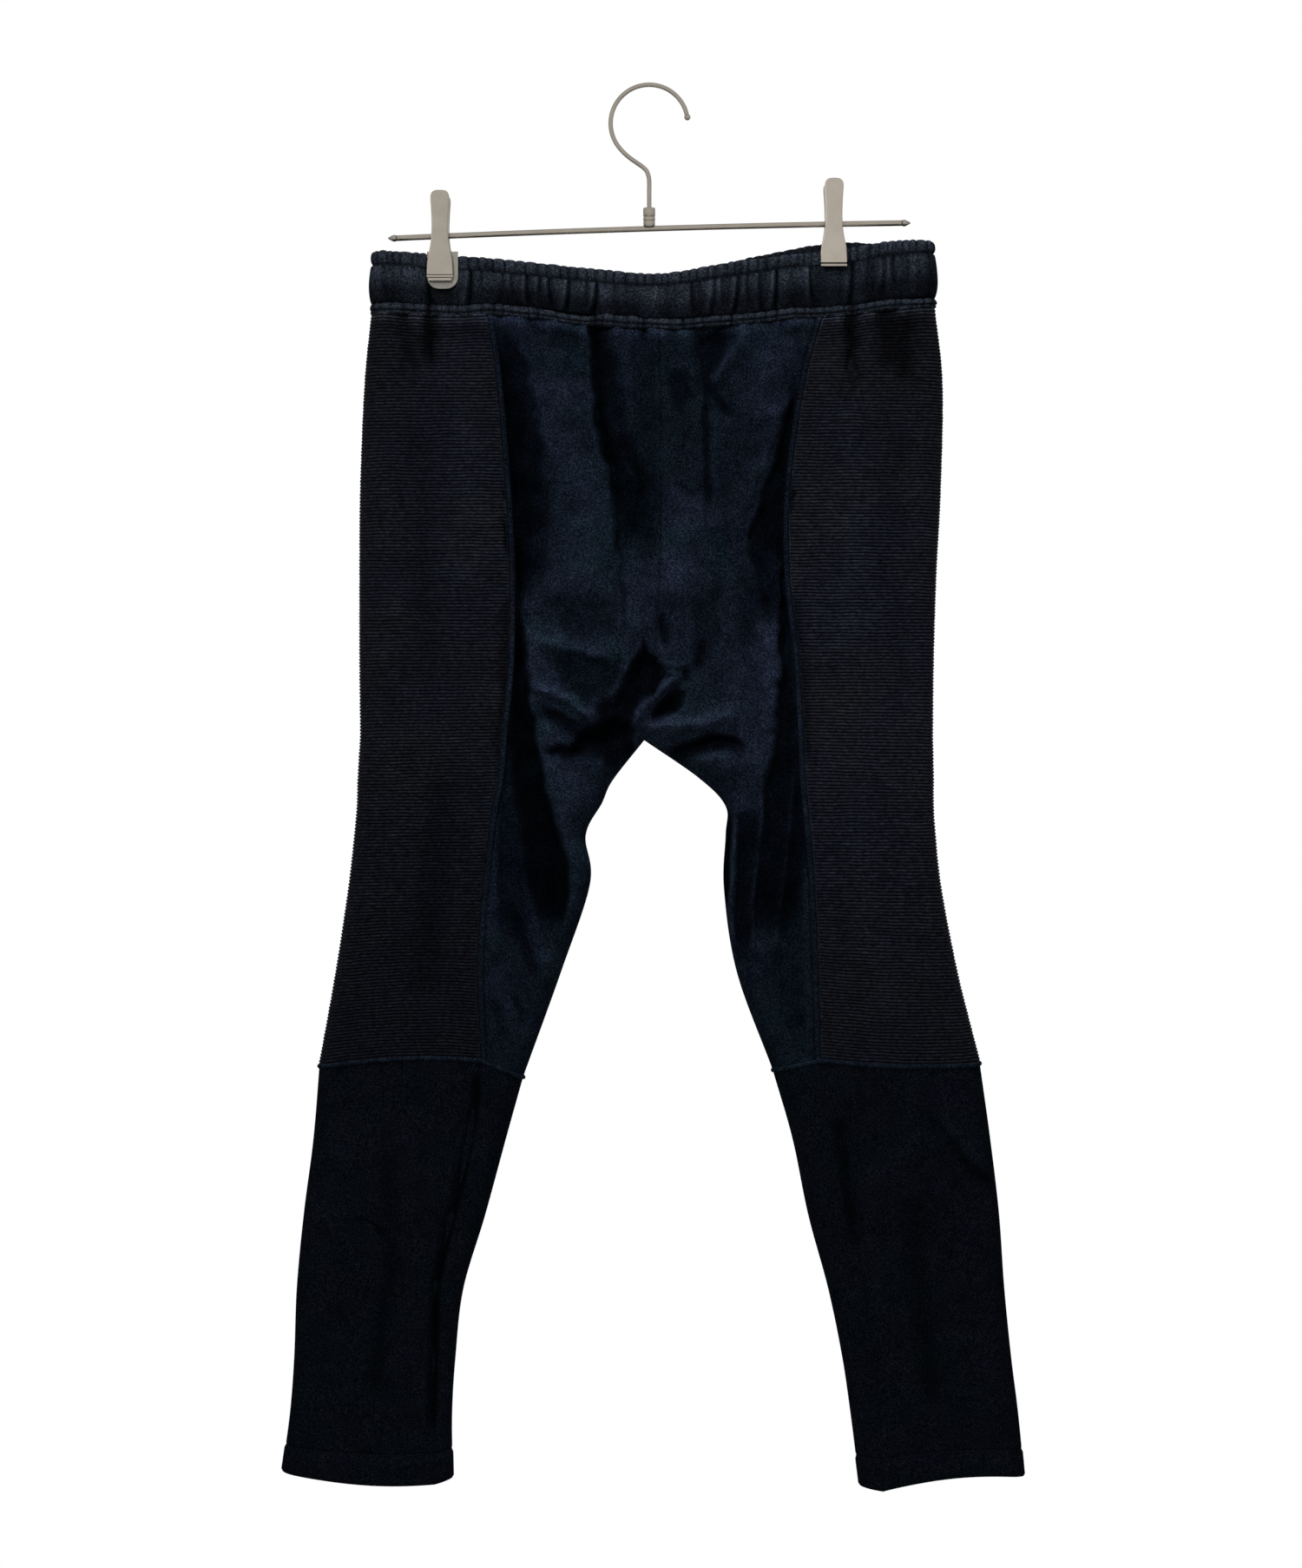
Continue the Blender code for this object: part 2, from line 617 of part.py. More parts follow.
def welt_ring(leg, height, out):
    """A ring of points round the leg, this far above the knee seam and out from the cloth."""
    above = (leg.corner(KNEE - 1, "seam") - leg.corner(KNEE, "seam")).length
    below = (leg.corner(KNEE + 1, "seam") - leg.corner(KNEE, "seam")).length
    s = KNEE - height / (above if height > 0 else below)
    outer_half = side_sites(leg, [s], lambda s: side_columns(leg, s)[1:-1])[0]
    front = centre_sites(leg, [s], CENTRE_FRONT_COLUMNS, True)[0]
    back = centre_sites(leg, [s], CENTRE_FRONT_COLUMNS[:-1], False)[0]
    return [point + normal * out for point, normal in [*outer_half, *front, *back[::-1]]]


def knee_welt(side):
    """The corded ridge that covers the knee seam, made from the points of the panels moved out."""
    leg = Leg(side)
    section = [
        (WELT_HEIGHT / 2, WELT_CLEARANCE),
        (WELT_HEIGHT / 4, WELT_RISE),
        (-WELT_HEIGHT / 4, WELT_RISE),
        (-WELT_HEIGHT / 2, WELT_CLEARANCE),
    ]
    bm = bmesh.new()
    rings = add_grid(bm, [welt_ring(leg, height, out) for height, out in section])
    skin(bm, [*rings, rings[0]], ring=True)
    place(f"knee_welt_{side}", bm, fleece())


# ---------------------------------------------------------------- waistband


def waist_loop(columns):
    """Points round the waist in plan, with outward normals: along the front from the left, then back."""
    left, right = WAIST[0].x, WAIST[-1].x
    radius = WAIST_DEPTH
    quarter = radius * math.pi / 2
    length = right - left - 2 * radius + 2 * quarter

    def plan(arc, front):
        if arc < quarter:
            from_left = radius * (1 - math.cos(arc / radius))
        elif arc > length - quarter:
            from_left = right - left - radius * (1 - math.cos((length - arc) / radius))
        else:
            from_left = radius + arc - quarter
        x = left + from_left
        rounding = edge_round(from_left, radius) * edge_round(right - left - from_left, radius)
        y = rounding * half_depth(WAIST_DEPTH, x, table_value(WAIST, x, "band_foot"))
        return Vector((x, -y if front else y, 0))

    def round_the_loop(run):
        run %= 2 * length
        return plan(run, True) if run <= length else plan(2 * length - run, False)

    loop = []
    for i in range(columns):
        run = 2 * length * i / columns
        tangent = round_the_loop(run + 0.2) - round_the_loop(run - 0.2)
        loop.append((round_the_loop(run), Vector((-tangent.y, tangent.x, 0)).normalized() * -1, run > length))
    return loop


def waist_height(point, level, is_back):
    """Height of a level at a point of the loop. The back's top edge stands a little higher on the right."""
    z = table_value(WAIST, point.x, level)
    rise = table_value(WAIST, point.x, "back_rise") if is_back else 0.0
    return z + rise * {"top": 1.0, "stitch": 0.8, "casing_foot": 0.0, "band_foot": 0.0}[level]


def waist_ring(loop, upper, lower, share, offset, lift=0.0):
    """One ring of points part of the way between two levels. offset is each column's outward shift."""
    ring = []
    for i, (point, normal, is_back) in enumerate(loop):
        z = mix(waist_height(point, upper, is_back), waist_height(point, lower, is_back), share)
        ring.append(point + normal * offset(i, point) + Vector((0, 0, z + lift)))
    return ring


def waistband():
    """Heading and elastic casing in one doubled strip. Each pair of columns is one gather."""
    around = 2 * (WAIST[-1].x - WAIST[0].x)
    columns = 2 * round(around / GATHER_PITCH)
    loop = waist_loop(columns)

    def swell(bulge, gather):
        def offset(i, point):
            press = pinch(point.x, table_value(WAIST, point.x, "top"))
            deep = gather(i // 2) if i % 2 else 0.0
            return (bulge - deep) * (1 - 0.97 * press)

        return offset

    def heading(k):
        return HEADING_GATHER

    def casing(k):
        return CASING_GATHERS[k % len(CASING_GATHERS)]

    def none(k):
        return 0.0

    rings = [
        waist_ring(loop, "top", "stitch", 0.0, swell(HEADING_BULGE * 0.4, heading)),
        waist_ring(loop, "top", "stitch", 0.45, swell(HEADING_BULGE, heading)),
        waist_ring(loop, "top", "stitch", 1.0, swell(0.0, none)),
        waist_ring(loop, "stitch", "casing_foot", 0.3, swell(CASING_BULGE, casing)),
        waist_ring(loop, "stitch", "casing_foot", 0.75, swell(CASING_BULGE, casing)),
        waist_ring(loop, "stitch", "casing_foot", 1.0, swell(0.0, none), SEAM_GAP / 2),
    ]
    plain = waist_loop(columns // 3)

    def back_face(i, point):
        return -WAISTBAND_WALL

    inner_top = waist_ring(plain, "top", "stitch", 0.0, back_face)
    inner_foot = waist_ring(plain, "stitch", "casing_foot", 1.0, back_face, SEAM_GAP / 2)
    bm = bmesh.new()
    rings, inside = add_grid(bm, rings), add_grid(bm, [inner_top, inner_foot])
    skin(bm, rings, ring=True)
    skin(bm, inside, ring=True)
    for side in (0, -1):
        zip_chains(bm, [*rings[side], rings[side][0]], [*inside[side], inside[side][0]])
    place("waistband", bm, fleece())


def waist_seam_band():
    """The narrow topstitched band between the casing and the panels."""
    loop = waist_loop(48)

    def out(amount):
        return lambda i, point: amount

    rings = [
        waist_ring(loop, "casing_foot", "band_foot", 0.0, out(0.0), -SEAM_GAP / 2),
        waist_ring(loop, "casing_foot", "band_foot", 0.5, out(BAND_BULGE)),
        waist_ring(loop, "casing_foot", "band_foot", 1.0, out(0.0), SEAM_GAP / 2),
        waist_ring(loop, "casing_foot", "band_foot", 1.0, out(-WALL), SEAM_GAP / 2),
        waist_ring(loop, "casing_foot", "band_foot", 0.0, out(-WALL), -SEAM_GAP / 2),
    ]
    bm = bmesh.new()
    rings = add_grid(bm, rings)
    skin(bm, [*rings, rings[0]], ring=True)
    place("waist_seam_band", bm, fleece())


# ---------------------------------------------------------------- hanger


def wire(name, points, diameter):
    curve = bpy.data.curves.new(name, "CURVE")
    curve.dimensions = "3D"
    curve.bevel_depth = diameter / 2 * MM
    curve.bevel_resolution = 1
    curve.use_fill_caps = True
    spline = curve.splines.new("POLY")
    spline.points.add(len(points) - 1)
    for control, point in zip(spline.points, points):
        control.co = (*(Vector(point) * MM), 1.0)
    curve.materials.append(steel())
    made = bpy.data.objects.new(name, curve)
    bpy.context.scene.collection.objects.link(made)
    return made


def turned(name, profile, steps, finish, at, axis="Z"):
    """A solid of revolution. profile runs (radius, height) from one end on the axis to the other."""
    bm = bmesh.new()
    rings = []
    for radius, height in profile:
        if radius == 0:
            rings.append([bm.verts.new((0, 0, height))])
            continue
        turns = [2 * math.pi * i / steps for i in range(steps)]
        rings.append([bm.verts.new((radius * math.cos(a), radius * math.sin(a), height)) for a in turns])
    for a, b in zip(rings, rings[1:]):
        for i in range(steps):
            j = (i + 1) % steps
            corners = [a[0]] if len(a) == 1 else [a[i], a[j]]
            corners += [b[0]] if len(b) == 1 else [b[j], b[i]]
            bm.faces.new(corners)
    quarter = math.radians(90)
    turn_to = {"Z": Vector((0, 0, 0)), "X": Vector((0, quarter, 0))}[axis]
    bmesh.ops.scale(bm, vec=(MM, MM, MM), verts=bm.verts)
    bmesh.ops.recalc_face_normals(bm, faces=bm.faces)
    mesh = bpy.data.meshes.new(name)
    bm.to_mesh(mesh)
    bm.free()
    mesh.shade_smooth()
    mesh.set_sharp_from_angle(angle=math.radians(40))
    mesh.materials.append(finish)
    made = bpy.data.objects.new(name, mesh)
    made.location = Vector(at) * MM
    made.rotation_euler = turn_to
    bpy.context.scene.collection.objects.link(made)
    return made


def bar_height(x):
    """The bar hangs a little askew, and its ends bow down under the load."""
    return BAR_Z + BAR_TILT * x - BAR_BOW * (x / (BAR_LENGTH / 2)) ** 2


def hook():
    centre_z = WIRE / 2 - HOOK_RADIUS
    arc_steps = 22
    points = []
    for i in range(arc_steps + 1):
        angle = math.radians(mix(HOOK_TIP_ANGLE, HOOK_FOOT_ANGLE, i / arc_steps))
        points.append(Vector((HOOK_RADIUS * math.cos(angle), 0, centre_z + HOOK_RADIUS * math.sin(angle))))
    points += [Vector((x, 0, z)) for x, z in HOOK_BEND]
    points.append(Vector((0, 0, FERRULE_TOP_Z + TOUCH)))
    wire("hook", points, WIRE)
    tip = points[0]
    radius = WIRE * 0.62
    angles = [math.radians(degrees) for degrees in range(0, 181, 36)]
    beads = [(radius * math.sin(a), -radius * math.cos(a)) for a in angles]
    beads[0], beads[-1] = (0, -radius), (0, radius)
    turned("hook_tip", beads, 8, steel(), (tip.x + 0.4, 0, tip.z - radius - TOUCH))


def ferrule():
    r = FERRULE_DIAMETER / 2
    foot = bar_height(0) + BAR_DIAMETER / 2 + TOUCH
    profile = [
        (0, foot),
        (r * 0.7, foot),
        (r * 0.92, foot + 2.0),
        (r * 0.95, foot + 5.4),
        (r * 0.8, foot + 6.2),
        (r, foot + 7.0),
        (r, FERRULE_TOP_Z - 0.8),
        (r * 0.8, FERRULE_TOP_Z),
        (0, FERRULE_TOP_Z),
    ]
    turned("hook_ferrule", profile, 12, steel(), (0, 0, 0))


def bar():
    half = BAR_LENGTH / 2
    tip_length = 6.0
    steps = 12
    reach = half - tip_length
    points = []
    for i in range(steps + 1):
        x = mix(-reach, reach, i / steps)
        points.append(Vector((x, 0, bar_height(x))))
    wire("bar", points, BAR_DIAMETER)
    profile = [(0, 0), (2.3, 0), (2.3, 1.6), (0, tip_length - TOUCH)]
    turned("bar_tip_r", profile, 10, steel(), (reach + TOUCH, 0, bar_height(half)), "X")
    mirrored = [(r, -h) for r, h in profile]
    turned("bar_tip_l", mirrored, 10, steel(), (-reach - TOUCH, 0, bar_height(-half)), "X")


# Down a clip's lever: height from the bar, half width of the plate, its distance from the cloth's middle
# plane, and how deep the side flanges are.
Lever = namedtuple("Lever", "height half_width out flange")
LEVER = [
    Lever(31.0, 5.4, 12.4, 1.5),
    Lever(29.0, 6.8, 12.3, 2.0),
    Lever(22.0, 6.5, 11.7, 3.6),
    Lever(10.0, 5.8, 10.9, 5.6),
    Lever(0.0, 6.0, 10.3, 7.2),
    Lever(-10.0, 7.0, 10.0, 5.0),
    Lever(-20.0, 9.2, 9.8, 2.6),
    Lever(-30.5, 9.5, 9.6, 1.2),
]


def clip_lever(side, front):
    at_x = CLIP_X[side]
    sign = -1 if front else 1
    t = CLIP_SHEET
    rows = []
    for row in LEVER:
        w, back = row.half_width, row.out - row.flange
        section = [
            (-w, back),
            (-w, row.out),
            (w, row.out),
            (w, back),
            (w - t, back),
            (w - t, row.out - t),
            (-w + t, row.out - t),
            (-w + t, back),
        ]
        z = bar_height(at_x) + row.height
        rows.append([Vector((at_x + x, sign * y, z)) for x, y in section])
    bm = bmesh.new()
    rows = add_grid(bm, rows)
    skin(bm, rows, ring=True)
    for cap in (rows[0], rows[-1]):
        bm.faces.new((cap[0], cap[1], cap[6], cap[7]))
        bm.faces.new((cap[1], cap[2], cap[5], cap[6]))
        bm.faces.new((cap[2], cap[3], cap[4], cap[5]))
    place(f"clip_{side}_{'front' if front else 'rear'}_lever", bm, steel(), 30)


def clip_plate(name, at_x, base, faces, half_width, top, foot, corner, finish):
    """A flat plate between the jaw and the cloth, with its lower corners cut round."""
    outline = [
        (-half_width, top),
        (-half_width, foot + corner),
        (-half_width + corner * 0.3, foot + corner * 0.3),
        (-half_width + corner, foot),
        (half_width - corner, foot),
        (half_width - corner * 0.3, foot + corner * 0.3),
        (half_width, foot + corner),
        (half_width, top),
    ]
    bm = bmesh.new()
    rings = [[bm.verts.new((at_x + x, y, base + z)) for x, z in outline] for y in faces]
    skin(bm, rings, ring=True)
    for ring in rings:
        bm.faces.new(ring)
    place(name, bm, finish, 30)


def clip_spring(side):
    """The coil round the bar that presses the jaws together, as a plain sleeve."""
    inner, outer, half = BAR_DIAMETER / 2 + TOUCH, BAR_DIAMETER / 2 + 1.5, 4.6
    at_x = CLIP_X[side]
    steps = 8
    bm = bmesh.new()
    rings = []
    for x, radius in ((-half, inner), (-half, outer), (half, outer), (half, inner)):
        turns = [2 * math.pi * i / steps for i in range(steps)]
        at = Vector((at_x + x, 0, bar_height(at_x + x)))
        spokes = [Vector((0, radius * math.cos(a), radius * math.sin(a))) for a in turns]
        rings.append([bm.verts.new(at + spoke) for spoke in spokes])
    skin(bm, [*rings, rings[0]], ring=True)
    place(f"clip_{side}_spring", bm, steel())


def clip(side):
    at_x, base = CLIP_X[side], bar_height(CLIP_X[side])
    foot = LEVER[-1].height - 3.4
    for front in (True, False):
        clip_lever(side, front)
        sign = -1 if front else 1
        face = LINER_FACE + LINER_SHEET + TOUCH if front and side == "l" else PAD_FACE
        faces = (sign * face, sign * (JAW - TOUCH))
        name = f"clip_{side}_{'front' if front else 'rear'}_pad"
        clip_plate(name, at_x, base, faces, 7.2, -18.5, foot, 1.2, soft_pad())
    if side == "l":
        faces = (-LINER_FACE, -LINER_FACE - LINER_SHEET)
        clip_plate("clip_l_liner", at_x + LINER_SHIFT, base, faces, 11.0, -20.5, -40.0, 6.0, soft_pad())
    clip_spring(side)


def main():
    for old in list(bpy.data.objects):
        bpy.data.objects.remove(old)
    waistband()
    waist_seam_band()
    for side in LEGS:
        rib_panel(side)
        for front in (True, False):
            centre_panel(side, front)
        knee_welt(side)
        calf_outer(side)
        calf_inner(side)
        clip(side)
    hook()
    ferrule()
    bar()


main()
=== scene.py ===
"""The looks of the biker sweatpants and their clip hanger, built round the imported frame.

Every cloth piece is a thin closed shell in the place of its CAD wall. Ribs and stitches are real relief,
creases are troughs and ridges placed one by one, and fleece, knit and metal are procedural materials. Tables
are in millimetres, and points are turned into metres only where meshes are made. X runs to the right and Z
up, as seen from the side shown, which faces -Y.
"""

import json
import math
from collections import namedtuple

import bmesh
import bpy
import numpy as np
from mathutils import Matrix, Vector

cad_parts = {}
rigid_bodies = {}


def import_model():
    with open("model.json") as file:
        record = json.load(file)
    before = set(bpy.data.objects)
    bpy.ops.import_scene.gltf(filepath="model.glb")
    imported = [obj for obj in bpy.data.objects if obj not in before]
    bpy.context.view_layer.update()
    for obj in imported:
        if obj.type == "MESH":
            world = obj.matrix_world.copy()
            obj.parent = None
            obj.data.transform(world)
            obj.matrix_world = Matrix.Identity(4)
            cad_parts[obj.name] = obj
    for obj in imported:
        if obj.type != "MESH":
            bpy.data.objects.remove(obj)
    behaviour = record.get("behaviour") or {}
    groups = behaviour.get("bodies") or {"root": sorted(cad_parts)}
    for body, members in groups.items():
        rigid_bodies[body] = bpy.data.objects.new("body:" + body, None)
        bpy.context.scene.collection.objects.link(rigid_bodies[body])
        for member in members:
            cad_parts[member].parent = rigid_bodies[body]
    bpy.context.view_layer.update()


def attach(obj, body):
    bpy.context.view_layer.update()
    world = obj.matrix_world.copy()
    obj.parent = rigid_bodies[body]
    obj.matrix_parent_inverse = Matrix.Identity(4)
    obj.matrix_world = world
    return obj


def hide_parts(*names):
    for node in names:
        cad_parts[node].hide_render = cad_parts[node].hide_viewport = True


MM = 0.001

# Cloth sizes
WALL = 1.7
WAISTBAND_WALL = 2.6
RIB_PITCH = 2.4
RIB_RISE = 0.85
WAIST_DEPTH = 13.5
TAPE_WIDTH = 4.2
# Beside a side seam the cloth lies flat for the first distance, and is free after the second
SEAM_HOLD_FROM = 2.6
SEAM_HOLD = 3.4
HEM_HEIGHT = 19.0
WELT_HEIGHT = 3.6
WELT_RISE = 1.9
STITCH_LENGTH = 2.6
STITCH_GAP = 0.9
STITCH_RADIUS = 0.28

# The length over which a fold's ends die away, the height over which a hollow's do, and a fold's softness
FOLD_FADE = 14.0
HOLLOW_FADE = 30.0
FOLD_FALLOFF = 1.1
# Ripples are given by their rise, wavelength and seed. These make the creases' edges wander, across and down,
# and less so below the foot
WANDER_ACROSS = [(1.5, 19, 2), (0.6, 8, 4)]
WANDER_DOWN = [(1.8, 23, 7)]
WANDER_FOOT = -540.0
WANDER_FADE = 60.0
LEAST_WANDER = 0.3
# The creases' depth, the ribs' rise and course, and those of the casing and the seam band are a little uneven
UNEVEN_DEPTH = [(0.22, 27, 11)]
UNEVEN_RIBS = [(0.12, 19, 8)]
RIB_SAG = [(0.28, 34, 4)]
CASING_SWAY = [(0.35, 21, 6)]
# Blotches of painted shade over the casing
CASING_PAINTED_SHADE_RIPPLES = [(0.40, 26, 13)]
BAND_SWAY = [(0.7, 31, 12)]
# The puckers that the seam band draws into the panels, and how far down they reach
PUCKERS = [(1.7, 15, 9)]
PUCKER_REACH = 13.0
# The legs' slow swell, and the least half thickness that a deep crease may leave
SWELL = {"l": [(0.7, 46, 3)], "r": [(0.7, 46, 5)]}
LEAST_HALF_DEPTH = 3.0
LEAST_DEPTH_BLEND = 2.0

# Colour steps, in stops, on top of a material's own colour
# Painted shade over the inside of every shell
INSIDE_PAINTED_SHADE = -1.0
# The calves' step is partly their darker cloth and partly painted shade
CALF_TONE_AND_PAINTED_SHADE = -1.05
CASING_TONE = 0.80
# Painted shade in the grooves between the ribs
RIB_GROOVE_PAINTED_SHADE = -3.5
# Painted shade in troughs and painted highlight on ridges: the most that a trough darkens and a ridge
# lightens, and how fast that is reached
TROUGH_PAINTED_SHADE = (3.3, 0.13)
RIDGE_PAINTED_HIGHLIGHT = (1.1, 0.15)
# Painted shade on the casing's lower side: share of the way down the casing, and the stops there
CASING_UNDERSIDE_PAINTED_SHADE = [
    (0.0, -0.3), (0.15, -0.4), (0.35, -0.6), (0.5, -1.15), (0.65, -1.85), (0.85, -1.9), (1.0, -1.6),
]
# Painted light: how much paler the panels are made just under the seam band, and how far down that reaches
UNDER_BAND_PAINTED_LIGHT = 1.6
UNDER_BAND_REACH = 9.0
# Painted light and shade down the panels: height, and the stops there
RIB_PAINTED_LIGHT_BY_HEIGHT = {
    "l": [(-160, -0.3), (-300, 0.2), (-450, 0.25), (-600, -0.1), (-720, -0.3)],
    "r": [(-160, -0.3), (-300, 0.4), (-450, 0.65), (-600, 0.3), (-720, 0.1)],
}
CENTRE_PAINTED_LIGHT_BY_HEIGHT = [
    (-170, -0.5), (-300, -0.35), (-400, 0.2), (-450, 0.4), (-520, 0.1), (-620, -0.1), (-720, -0.25),
]

# What the fleece's colour is multiplied by in the waistband and in the lower legs
BAND_TINT = (1.60, 1.28, 1.06)
LOWER_TINT = (1.20, 0.98, 0.92)

# Hanger sizes
WIRE = 4.2
HOOK_RADIUS = 28.0
HOOK_TIP_ANGLE = 12
HOOK_FOOT_ANGLE = 222
# Below the round of the hook the wire runs through these points to its straight stem
HOOK_BEND = [
    (-17.4, -48.2), (-13.0, -51.8), (-8.4, -55.0), (-4.6, -57.7), (-2.0, -60.4), (-0.6, -63.8), (0.0, -68.0),
]
HOOK_WIRE = 3.3
WIRE_TONE = -0.15
# Painted shade on the sides of the round metal parts
RIM_PAINTED_SHADE = 1.7
FERRULE_TOP_Z = -88.0
FERRULE_DIAMETER = 8.8
BAR_LENGTH = 380.0
BAR_DIAMETER = 3.7
BAR_Z = -102.4
BAR_TILT = 0.030
BAR_BOW = 1.5
CLIP_X = {"l": -151.5, "r": 133.7}
CLIP_HALF_DEPTH = 4.6
CLIP_PINCH_WIDTH = 24.0
PINCH_REACH = 60.0
CLIP_HOLD = 0.97
CLIP_SHEET = 1.1
# Painted light: the right clip is made a little lighter than the left
CLIP_PAINTED_LIGHT = {"l": 0.0, "r": 0.2}

# The waist, from the heading's top edge down to the foot of the seam band
Waist = namedtuple("Waist", "x top stitch casing_foot band_foot back_rise")
WAIST = [
    Waist(-201.0, -120.0, -129.5, -158.0, -163.8, 0.0),
    Waist(-158.0, -121.8, -130.9, -158.8, -165.0, 0.0),
    Waist(-95.0, -127.9, -136.9, -160.4, -166.4, 0.0),
    Waist(-38.0, -133.6, -142.8, -167.6, -173.2, 0.0),
    Waist(7.0, -136.9, -145.0, -170.1, -175.6, 0.5),
    Waist(55.0, -129.4, -139.0, -167.6, -173.2, 3.4),
    Waist(116.0, -121.6, -130.0, -161.0, -166.6, 7.2),
    Waist(146.0, -117.2, -126.4, -158.7, -163.9, 5.2),
    Waist(185.0, -112.9, -122.2, -155.2, -160.4, 0.6),
    Waist(206.5, -112.5, -121.0, -153.5, -158.4, 0.0),
]

# One row of a leg: outer edge, seam, inner edge, the lift of the row's middle, and half the tube's thickness
Row = namedtuple("Row", "name outer_x outer_z seam_x seam_z inner_x inner_z bow depth")
LEFT_ROWS = [
    Row("waist", -201.0, -163.8, -117.2, -166.0, 6.9, -175.6, 0.0, 13.5),
    Row("hip", -206.0, -214.8, -110.3, -214.8, 8.2, -221.0, 0.0, 16.5),
    Row("seat_top", -209.2, -290.4, -104.0, -290.4, 8.2, -296.7, 0.0, 18.0),
    Row("seat", -209.8, -353.4, -100.8, -353.4, 6.9, -366.0, 0.0, 18.5),
    Row("rise", -209.8, -416.4, -101.4, -416.4, 3.2, -432.2, 0.0, 18.0),
    Row("fork", -209.2, -470.0, -106.5, -468.7, -3.6, -473.6, 0.0, 17.0),
    Row("thigh_top", -211.1, -501.5, -109.0, -499.6, -26.5, -502.7, 0.0, 16.5),
    Row("thigh_upper", -211.7, -521.6, -112.8, -520.4, -34.2, -519.1, 0.0, 16.5),
    Row("thigh", -213.6, -542.4, -115.9, -541.2, -46.0, -542.4, 0.0, 16.0),
    Row("thigh_low", -218.0, -581.5, -120.3, -580.2, -42.8, -577.1, 0.5, 15.5),
    Row("knee_top", -227.4, -643.2, -124.1, -640.1, -63.4, -640.1, 2.0, 14.5),
    Row("knee", -239.4, -710.0, -121.6, -705.0, -91.4, -717.6, 3.8, 14.0),
    Row("calf_top", -243.8, -762.9, -127.3, -762.9, -104.0, -762.9, 1.0, 13.5),
    Row("calf", -250.7, -816.5, -140.5, -817.7, -119.1, -818.4, 0.0, 13.0),
    Row("shin", -255.8, -870.0, -152.5, -871.3, -134.8, -871.3, 0.0, 12.0),
    Row("ankle_top", -257.7, -920.4, -153.7, -920.4, -140.5, -920.4, 0.0, 11.5),
    Row("ankle", -260.8, -961.4, -155.0, -963.3, -143.0, -963.3, -1.5, 11.0),
    Row("hem", -266.5, -1003.0, -155.0, -1011.8, -142.4, -1008.0, -4.5, 10.5),
]
RIGHT_ROWS = [
    Row("waist", 206.5, -158.4, 126.0, -166.0, 6.9, -175.6, 0.0, 13.5),
    Row("hip", 212.3, -214.8, 112.8, -214.8, 8.2, -221.0, 0.0, 16.5),
    Row("seat_top", 211.1, -290.4, 102.1, -290.4, 8.2, -296.7, 0.0, 18.0),
    Row("seat", 207.9, -353.4, 101.4, -353.4, 6.9, -366.0, 0.0, 18.5),
    Row("rise", 206.0, -416.4, 108.4, -416.4, 3.2, -432.2, 0.0, 18.0),
    Row("fork", 205.4, -470.0, 111.5, -468.7, -3.6, -473.6, 0.0, 17.0),
    Row("thigh_top", 206.0, -501.5, 112.8, -499.6, 36.6, -501.5, 0.0, 16.5),
    Row("thigh_upper", 206.0, -520.4, 114.7, -520.4, 55.4, -521.6, 0.0, 16.5),
    Row("thigh", 207.3, -541.2, 116.6, -541.2, 55.4, -542.4, 0.0, 16.0),
    Row("thigh_low", 211.7, -581.5, 119.7, -580.2, 54.2, -581.5, 0.0, 15.5),
    Row("knee_top", 223.7, -643.2, 122.2, -640.1, 63.6, -642.0, -1.0, 14.5),
    Row("knee", 240.0, -708.1, 124.1, -705.0, 89.5, -712.5, -2.8, 14.0),
    Row("calf_top", 247.6, -762.9, 138.6, -762.9, 104.0, -762.9, -0.5, 13.5),
    Row("calf", 253.9, -816.5, 145.5, -817.7, 115.3, -817.7, 0.0, 13.0),
    Row("shin", 257.7, -870.0, 155.0, -871.3, 129.8, -871.3, 0.0, 12.0),
    Row("ankle_top", 262.7, -920.4, 161.9, -920.4, 139.9, -920.4, 0.0, 11.5),
    Row("ankle", 267.8, -961.4, 166.3, -963.3, 146.2, -963.3, 1.5, 11.0),
    Row("hem", 272.2, -1006.7, 168.8, -1016.8, 152.5, -1013.7, 4.2, 10.5),
]
LEGS = {"l": LEFT_ROWS, "r": RIGHT_ROWS}
ROW_AT = {row.name: number for number, row in enumerate(LEFT_ROWS)}
FORK, KNEE, HEM = ROW_AT["fork"], ROW_AT["knee"], ROW_AT["hem"]

